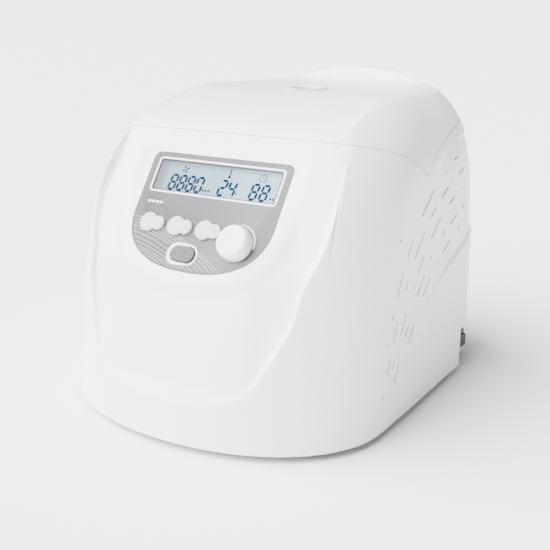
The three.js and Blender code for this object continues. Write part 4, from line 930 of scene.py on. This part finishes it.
def math_node(tree, operation, first, second=None):
    made = tree.nodes.new("ShaderNodeMath")
    made.operation = operation
    for i, value in enumerate((first, second)):
        if value is None:
            continue
        if isinstance(value, (int, float)):
            made.inputs[i].default_value = value
        else:
            tree.links.new(value, made.inputs[i])
    return made.outputs[0]


def plus(tree, first, second):
    return math_node(tree, "ADD", first, second)


def times(tree, first, second):
    return math_node(tree, "MULTIPLY", first, second)


def put_values(made, **values):
    """Sets a node's sockets; an underscore in a name stands for a space."""
    for label, value in values.items():
        made.inputs[label.replace("_", " ")].default_value = value
    return made


def placed_group(tree, group, **values):
    made = tree.nodes.new("ShaderNodeGroup")
    made.node_tree = group
    return put_values(made, **values)


def colour_mix(tree, factor, first, second, blend="MIX"):
    """Mixes two colours, each of which is a fixed colour or another node's output."""
    made = tree.nodes.new("ShaderNodeMix")
    made.data_type, made.blend_type = "RGBA", blend
    for label, value in (("Factor", factor), ("A", first), ("B", second)):
        if isinstance(value, (int, float, tuple)):
            made.inputs[label].default_value = value
        else:
            tree.links.new(value, made.inputs[label])
    return made.outputs["Result"]


def new_material(name):
    """A material with its node tree and its main shader."""
    material = bpy.data.materials.new(name)
    material.use_nodes = True
    return material, material.node_tree, material.node_tree.nodes["Principled BSDF"]


def noise(tree, vector, scale, detail=3.0, rough=0.55):
    made = tree.nodes.new("ShaderNodeTexNoise")
    made.inputs["Detail"].default_value = detail
    made.inputs["Roughness"].default_value = rough
    if isinstance(scale, (int, float)):
        made.inputs["Scale"].default_value = scale
    else:
        tree.links.new(scale, made.inputs["Scale"])
    tree.links.new(vector, made.inputs["Vector"])
    return made.outputs["Fac"]


def build_mottle():
    """Slow cloudy variation and fine grain in one: a value round zero for each."""
    group, given, out = new_group("slow_mottle_and_grain", [("Cloud scale", 9.0), ("Grain scale", 900.0)],
                                  [("Cloud", "NodeSocketFloat"), ("Grain", "NodeSocketFloat")])
    place = group.nodes.new("ShaderNodeTexCoord").outputs["Object"]
    cloud = noise(group, place, given.outputs["Cloud scale"], 4.0, 0.6)
    grain = noise(group, place, given.outputs["Grain scale"], 2.0, 0.5)
    group.links.new(math_node(group, "SUBTRACT", cloud, 0.5), out.inputs["Cloud"])
    group.links.new(math_node(group, "SUBTRACT", grain, 0.5), out.inputs["Grain"])
    return group


def build_turned_lines():
    """Fine rings about the upright axis through the rotor, as a lathe leaves them."""
    group, given, out = new_group("lathe_rings", [("Ring scale", 2600.0), ("Height scale", 700.0)],
                                  [("Rings", "NodeSocketFloat")])
    place = group.nodes.new("ShaderNodeTexCoord").outputs["Object"]
    split = group.nodes.new("ShaderNodeSeparateXYZ")
    group.links.new(place, split.inputs[0])
    y = math_node(group, "SUBTRACT", split.outputs[1], from_front(AXIS) * MM)
    radius = math_node(group, "SQRT", plus(group, times(group, split.outputs[0], split.outputs[0]),
                                                times(group, y, y)))
    across = group.nodes.new("ShaderNodeCombineXYZ")
    group.links.new(times(group, radius, given.outputs["Ring scale"]), across.inputs[0])
    group.links.new(times(group, split.outputs[2], given.outputs["Height scale"]), across.inputs[1])
    rings = noise(group, across.outputs[0], 1.0, 3.0, 0.7)
    group.links.new(math_node(group, "SUBTRACT", rings, 0.5), out.inputs["Rings"])
    return group


def build_specks():
    """Sparse dust and rub marks, as a mask from 0 to 1."""
    group, given, out = new_group("dust_and_rubs", [("Speck scale", 420.0), ("Patch scale", 16.0)],
                                  [("Mask", "NodeSocketFloat")])
    place = group.nodes.new("ShaderNodeTexCoord").outputs["Object"]
    speck = noise(group, place, given.outputs["Speck scale"], 3.0, 0.7)
    patch = noise(group, place, given.outputs["Patch scale"], 3.0, 0.6)
    mask = times(group, math_node(group, "GREATER_THAN", speck, 0.66),
                 math_node(group, "SMOOTH_MIN", patch, 1.0))
    group.links.new(mask, out.inputs["Mask"])
    return group


MOTTLE, LATHE, SPECKS = build_mottle(), build_turned_lines(), build_specks()
DUST = (0.6, 0.59, 0.57, 1)


def finish_material(name, color, roughness, metallic=0.0, cloud=(0.03, 9.0), grain=(900.0, 0.00002),
                    rough_play=0.08, dust=0.0, lathe=0.0, coat=0.0, coat_roughness=0.1, specular=0.5,
                    sheen=0.0, tint=None):
    """A material whose colour, gloss and surface vary: cloud is (strength, scale), grain (scale, height)."""
    material, tree, shader = new_material(name)
    put_values(shader, Metallic=metallic, Coat_Weight=coat, Coat_Roughness=coat_roughness,
               Specular_IOR_Level=specular, Sheen_Weight=sheen)
    mottle = placed_group(tree, MOTTLE, Cloud_scale=cloud[1], Grain_scale=grain[0])
    dark = [channel * (1 - cloud[0] * 2) for channel in color]
    light = [min(1.0, channel * (1 + cloud[0] * 2)) for channel in (tint or color)]
    share = plus(tree, times(tree, mottle.outputs["Cloud"], 1.3),
                 plus(tree, times(tree, mottle.outputs["Grain"], 0.5), 0.5))
    colour = colour_mix(tree, share, (*dark, 1), (*light, 1))
    gloss = plus(tree, times(tree, mottle.outputs["Cloud"], rough_play), roughness)
    height = mottle.outputs["Grain"]
    if dust:
        mask = placed_group(tree, SPECKS).outputs["Mask"]
        colour = colour_mix(tree, times(tree, mask, dust), colour, DUST)
        gloss = plus(tree, gloss, times(tree, mask, 0.15))
    if lathe:
        rings = placed_group(tree, LATHE).outputs["Rings"]
        gloss = plus(tree, gloss, times(tree, rings, 0.22 * lathe))
        height = plus(tree, height, times(tree, rings, 1.6 * lathe))
    bump = tree.nodes.new("ShaderNodeBump")
    put_values(bump, Strength=0.6, Distance=grain[1])
    tree.links.new(height, bump.inputs["Height"])
    tree.links.new(colour, shader.inputs["Base Color"])
    tree.links.new(gloss, shader.inputs["Roughness"])
    tree.links.new(bump.outputs["Normal"], shader.inputs["Normal"])
    return material


def shaded_along(material, stops, direction, start, end):
    """Multiplies a material's colour by a soft ramp along a direction between two places in metres."""
    tree = material.node_tree
    shader = tree.nodes["Principled BSDF"]
    before = shader.inputs["Base Color"].links[0].from_socket
    place = tree.nodes.new("ShaderNodeTexCoord").outputs["Object"]
    dot = tree.nodes.new("ShaderNodeVectorMath")
    dot.operation = "DOT_PRODUCT"
    dot.inputs[1].default_value = direction
    tree.links.new(place, dot.inputs[0])
    reach = tree.nodes.new("ShaderNodeMapRange")
    put_values(reach, From_Min=start, From_Max=end)
    tree.links.new(dot.outputs["Value"], reach.inputs["Value"])
    ramp = tree.nodes.new("ShaderNodeValToRGB")
    ramp.color_ramp.interpolation = "EASE"
    while len(ramp.color_ramp.elements) < len(stops):
        ramp.color_ramp.elements.new(0.5)
    for element, (at, value) in zip(ramp.color_ramp.elements, stops):
        element.position = at
        element.color = (*value, 1)
    tree.links.new(reach.outputs["Result"], ramp.inputs["Fac"])
    tree.links.new(colour_mix(tree, 1.0, before, ramp.outputs["Color"], "MULTIPLY"),
                   shader.inputs["Base Color"])
    return material


def clear_glass(name, color, roughness, transmission):
    """Clear glass with faint smears in its gloss."""
    material, tree, shader = new_material(name)
    put_values(shader, Transmission_Weight=transmission, IOR=1.49, Metallic=0)
    cloud = placed_group(tree, MOTTLE, Cloud_scale=30, Grain_scale=500).outputs["Cloud"]
    dull = tuple(channel * 0.97 for channel in color)
    tree.links.new(colour_mix(tree, plus(tree, cloud, 0.5), (*dull, 1), (*color, 1)),
                   shader.inputs["Base Color"])
    tree.links.new(plus(tree, times(tree, cloud, 0.06), roughness), shader.inputs["Roughness"])
    return material


# Surface grain of the finishes: how fine it is, and its height in metres.
INK_GRAIN, MOULDED_GRAIN, METAL_GRAIN = (2600, 0.00001), (2400, 0.00003), (2200, 0.00001)
shell_white = finish_material("moulded_white_housing", (0.86, 0.862, 0.87), 0.36, cloud=(0.012, 7),
                              grain=(1500, 0.000035), rough_play=0.08, dust=0.03, coat=0.12,
                              coat_roughness=0.25)
lid_white = finish_material("moulded_white_lid", (0.865, 0.867, 0.874), 0.34, cloud=(0.012, 8),
                            grain=(1500, 0.000035), rough_play=0.08, dust=0.03, coat=0.14,
                            coat_roughness=0.22)
inner_grey = finish_material("moulded_light_grey_liner", (0.66, 0.68, 0.7), 0.5, cloud=(0.03, 11),
                             grain=(1200, 0.00005), dust=0.12)
panel_grey = finish_material("metallic_grey_panel_film", (0.052, 0.049, 0.056), 0.42, 0.25,
                             cloud=(0.04, 14), grain=(3200, 0.00002), rough_play=0.1, coat=0.1,
                             coat_roughness=0.2, specular=0.3)
shaded_along(panel_grey, [(0.0, (0.72, 0.66, 0.74)), (0.45, (1.0, 0.96, 1.02)),
                          (1.0, (1.75, 1.75, 1.72))], (0.85, 0, -0.52), -0.165, -0.03)
display_face = finish_material("liquid_crystal_face", (0.15, 0.23, 0.28), 0.3, cloud=(0.02, 22),
                               grain=INK_GRAIN, specular=0.2, coat=0.06, coat_roughness=0.05)
# Painted shade and light: the liquid crystal face is darkened at its left end like the bezel's shadow, and
# painted light brightens it towards its right end.
shaded_along(display_face, [(0.0, (0.12, 0.14, 0.16)), (0.05, (0.3, 0.33, 0.36)),
                            (0.11, (0.75, 0.8, 0.82)), (0.4, (0.95, 0.97, 0.98)),
                            (1.0, (1.7, 1.62, 1.55))], (1, 0, 0), -0.057, 0.057)
# Painted shadow: a dark band along the top edge of the liquid crystal face, where the bezel shades it.
shaded_along(display_face, [(0.0, (1.05, 1.05, 1.05)), (0.78, (1, 1, 1)), (0.9, (0.62, 0.64, 0.66)),
                            (1.0, (0.16, 0.18, 0.2))], (0, math.sin(PANEL_LEAN), math.cos(PANEL_LEAN)),
             0.0860, 0.1115)
display_ink = finish_material("display_marks_dark_blue", (0.0, 0.012, 0.04), 0.6, cloud=(0.08, 60),
                              grain=INK_GRAIN, specular=0.04)
print_white = finish_material("printed_white_ink", (0.8, 0.8, 0.82), 0.45, cloud=(0.02, 40),
                              grain=INK_GRAIN)
wave_print = finish_material("printed_grey_waves", (0.3, 0.295, 0.31), 0.42, 0.2, cloud=(0.04, 30),
                             grain=INK_GRAIN)
key_white = finish_material("key_off_white", (0.5, 0.5, 0.51), 0.42, cloud=(0.02, 45),
                            grain=MOULDED_GRAIN, rough_play=0.1, dust=0.05)
start_grey = finish_material("start_key_grey", (0.06, 0.059, 0.065), 0.45, 0.1, specular=0.3,
                             cloud=(0.03, 45), grain=MOULDED_GRAIN, rough_play=0.1)
knob_white = finish_material("dial_white", (0.85, 0.85, 0.845), 0.3, cloud=(0.012, 50),
                             grain=MOULDED_GRAIN, rough_play=0.1, coat=0.2, coat_roughness=0.2)
steel = finish_material("spun_stainless_steel", (0.62, 0.63, 0.645), 0.26, 1.0, cloud=(0.03, 14),
                        grain=(1800, 0.00001), rough_play=0.14, lathe=1.0, dust=0.04)
rotor_metal = finish_material("turned_anodised_aluminium", (0.69, 0.7, 0.715), 0.3, 1.0,
                              cloud=(0.03, 20), grain=METAL_GRAIN, rough_play=0.1, lathe=0.8)
shaft_metal = finish_material("ground_steel_shaft", (0.6, 0.6, 0.61), 0.2, 1.0, cloud=(0.04, 40),
                              grain=METAL_GRAIN, lathe=0.6)
zinc = finish_material("zinc_plated_steel", (0.56, 0.565, 0.56), 0.36, 0.95, cloud=(0.09, 60),
                       grain=(1500, 0.00003), rough_play=0.25, dust=0.08, tint=(0.62, 0.62, 0.57))
black_plastic = finish_material("black_moulded_plastic", (0.022, 0.023, 0.025), 0.42, cloud=(0.12, 30),
                                grain=(1600, 0.00006), dust=0.1)
black_rubber = finish_material("black_rubber", (0.018, 0.018, 0.019), 0.78, cloud=(0.15, 30),
                               grain=(900, 0.00012), dust=0.2, sheen=0.2)
grey_rubber = finish_material("grey_silicone_rubber", (0.12, 0.125, 0.13), 0.66, cloud=(0.1, 30),
                              grain=(900, 0.00008), dust=0.12, sheen=0.2)
motor_paint = finish_material("motor_dark_paint", (0.045, 0.048, 0.055), 0.48, 0.3, cloud=(0.1, 25),
                              grain=(700, 0.0001), dust=0.15)
board_green = finish_material("circuit_board_green", (0.016, 0.12, 0.055), 0.4, cloud=(0.12, 80),
                              grain=(1600, 0.00005), coat=0.3, coat_roughness=0.2)
base_grey = finish_material("painted_steel_base", (0.4, 0.41, 0.42), 0.5, 0.1, cloud=(0.05, 14),
                            grain=(500, 0.00012), dust=0.15)
sight_clear = clear_glass("sight_glass_clear", (0.93, 0.96, 0.965), 0.05, 0.95)


def paint(material, *names):
    """Gives CAD nodes a finish in their object's material slots."""
    for name in names:
        piece = NODES[name]
        if not piece.material_slots:
            piece.data.materials.append(material)
        for place in piece.material_slots:
            place.material = material


CORNERS = ("front_left", "front_right", "rear_left", "rear_right")
BOTH = ("left", "right")
paint(zinc, *(half + side for half in ("hinge_lower_", "hinge_upper_", "lid_catch_") for side in BOTH))
paint(zinc, "encoder_body", *("base_screw_" + corner for corner in CORNERS), "motor_plate", "rear_panel")
paint(shaft_metal, "encoder_shaft", *(pin + side for pin in ("hinge_pin_", "lock_bolt_") for side in BOTH))
paint(black_plastic, "switch_frame", "power_rocker", "power_inlet", "fuse_drawer", "lock_body_left",
      "lock_body_right")
paint(board_green, "control_board", "power_board")
paint(inner_grey, "chamber_deck", "display_module")
paint(motor_paint, "motor_body")
paint(black_rubber, "motor_damper_1", "motor_damper_2", "motor_damper_3")
paint(base_grey, "base_plate")

# ---- bodies, materials and replaced nodes ----------------------------------------------------------

for piece in (housing, lid):
    shade(piece, 40)
for piece in (step_liner, rear_liner, *hinge_beds):
    finish_piece(piece, "body", "shell", shell_white)
for piece in (*lid_beds, *catch_blocks):
    finish_piece(piece, "lid", "shell", lid_white)
for piece, side in zip(keys, SIDES):
    finish_piece(piece, "button_" + side, "button", key_white, "button_" + side)
for piece in feet:
    finish_piece(piece, "body", "rubber", black_rubber, piece.name.replace("rubber_foot", "foot"))
for row in (
    (housing, "body", "shell", shell_white, "housing"),
    (lid, "lid", "shell", lid_white, "lid_shell"),
    (panel, "body", "panel", panel_grey, "control_panel"),
    (backing, "body", "shell", inner_grey),
    (glass, "body", "lens", display_face, "display_lens"),
    (start_key, "start_stop_button", "start_button", start_grey, "start_stop_button"),
    (knob, "speed_knob", "knob", knob_white, "speed_knob"),
    (lit_marks, "body", "display", display_ink),
    (print_marks, "body", "panel", print_white),
    (wave_marks, "body", "panel", wave_print),
    (sight_ring, "lid", "liner", lid_white, "sight_glass_ring"),
    (sight_pane, "lid", "glass", sight_clear, "sight_glass"),
    (lid_inside, "lid", "liner", inner_grey, "lid_liner"),
    (bowl, "body", "steel", steel, "chamber_bowl"),
    (seal, "body", "grey_rubber", grey_rubber, "chamber_seal"),
    (boot, "body", "rubber", black_rubber, "shaft_boot"),
    (disc, "rotor", "aluminium", rotor_metal, "rotor"),
    (gasket, "rotor", "rubber", black_rubber, "rotor_gasket"),
    (cover, "rotor_cover", "aluminium", rotor_metal, "rotor_cover"),
    (nut, "rotor_nut", "black_plastic", black_plastic, "rotor_nut"),
    (shaft, "rotor", "steel", shaft_metal, "motor_shaft"),
):
    finish_piece(*row)

# ---- floor, light and camera -----------------------------------------------------------------------

FLOOR_SIZE, FLOOR_WHITE = 160, 0.93
BACKDROP, SKY_LIGHT = 6.0, 0.5
SUN_STRENGTH, SUN_SPREAD, SUN_DIRECTION = 19.0, math.radians(75), (0.95, 0.8, -1.25)
CAMERA_PLACE, CAMERA_RISE, CAMERA_ROUND = (0.412763, -0.6804, 0.332677), 16.96, 31.72
SENSOR, LENS = 36, 924.417 / 550 * 36

deselect()
bpy.ops.mesh.primitive_plane_add(size=FLOOR_SIZE, location=(0, 0, -0.0002))
floor = settle(started("floor"))
floor_paint = bpy.data.materials.new("pale_floor")
floor_paint.use_nodes = True
floor_shader = floor_paint.node_tree.nodes["Principled BSDF"]
floor_shader.inputs["Base Color"].default_value = (FLOOR_WHITE, FLOOR_WHITE, FLOOR_WHITE, 1)
floor_shader.inputs["Roughness"].default_value = 0.9
floor.data.materials.append(floor_paint)

world = bpy.data.worlds.new("studio")
bpy.context.scene.world = world
world.use_nodes = True
sky = world.node_tree
sky.nodes["Background"].inputs["Color"].default_value = (1, 1, 1, 1)
backdrop = times(sky, sky.nodes.new("ShaderNodeLightPath").outputs["Is Camera Ray"], BACKDROP)
sky.links.new(plus(sky, backdrop, SKY_LIGHT), sky.nodes["Background"].inputs["Strength"])

deselect()
bpy.ops.object.light_add(type="SUN", location=(-0.6, -1.0, 1.8))
key_light = bpy.context.object
key_light.data.energy, key_light.data.angle = SUN_STRENGTH, SUN_SPREAD
key_light.rotation_euler = Vector(SUN_DIRECTION).to_track_quat("-Z", "Y").to_euler()

bpy.ops.object.camera_add(location=CAMERA_PLACE,
                          rotation=(math.radians(90 - CAMERA_RISE), 0, math.radians(CAMERA_ROUND)))
camera = bpy.context.object
camera.data.sensor_width, camera.data.lens = SENSOR, LENS
bpy.context.scene.camera = camera
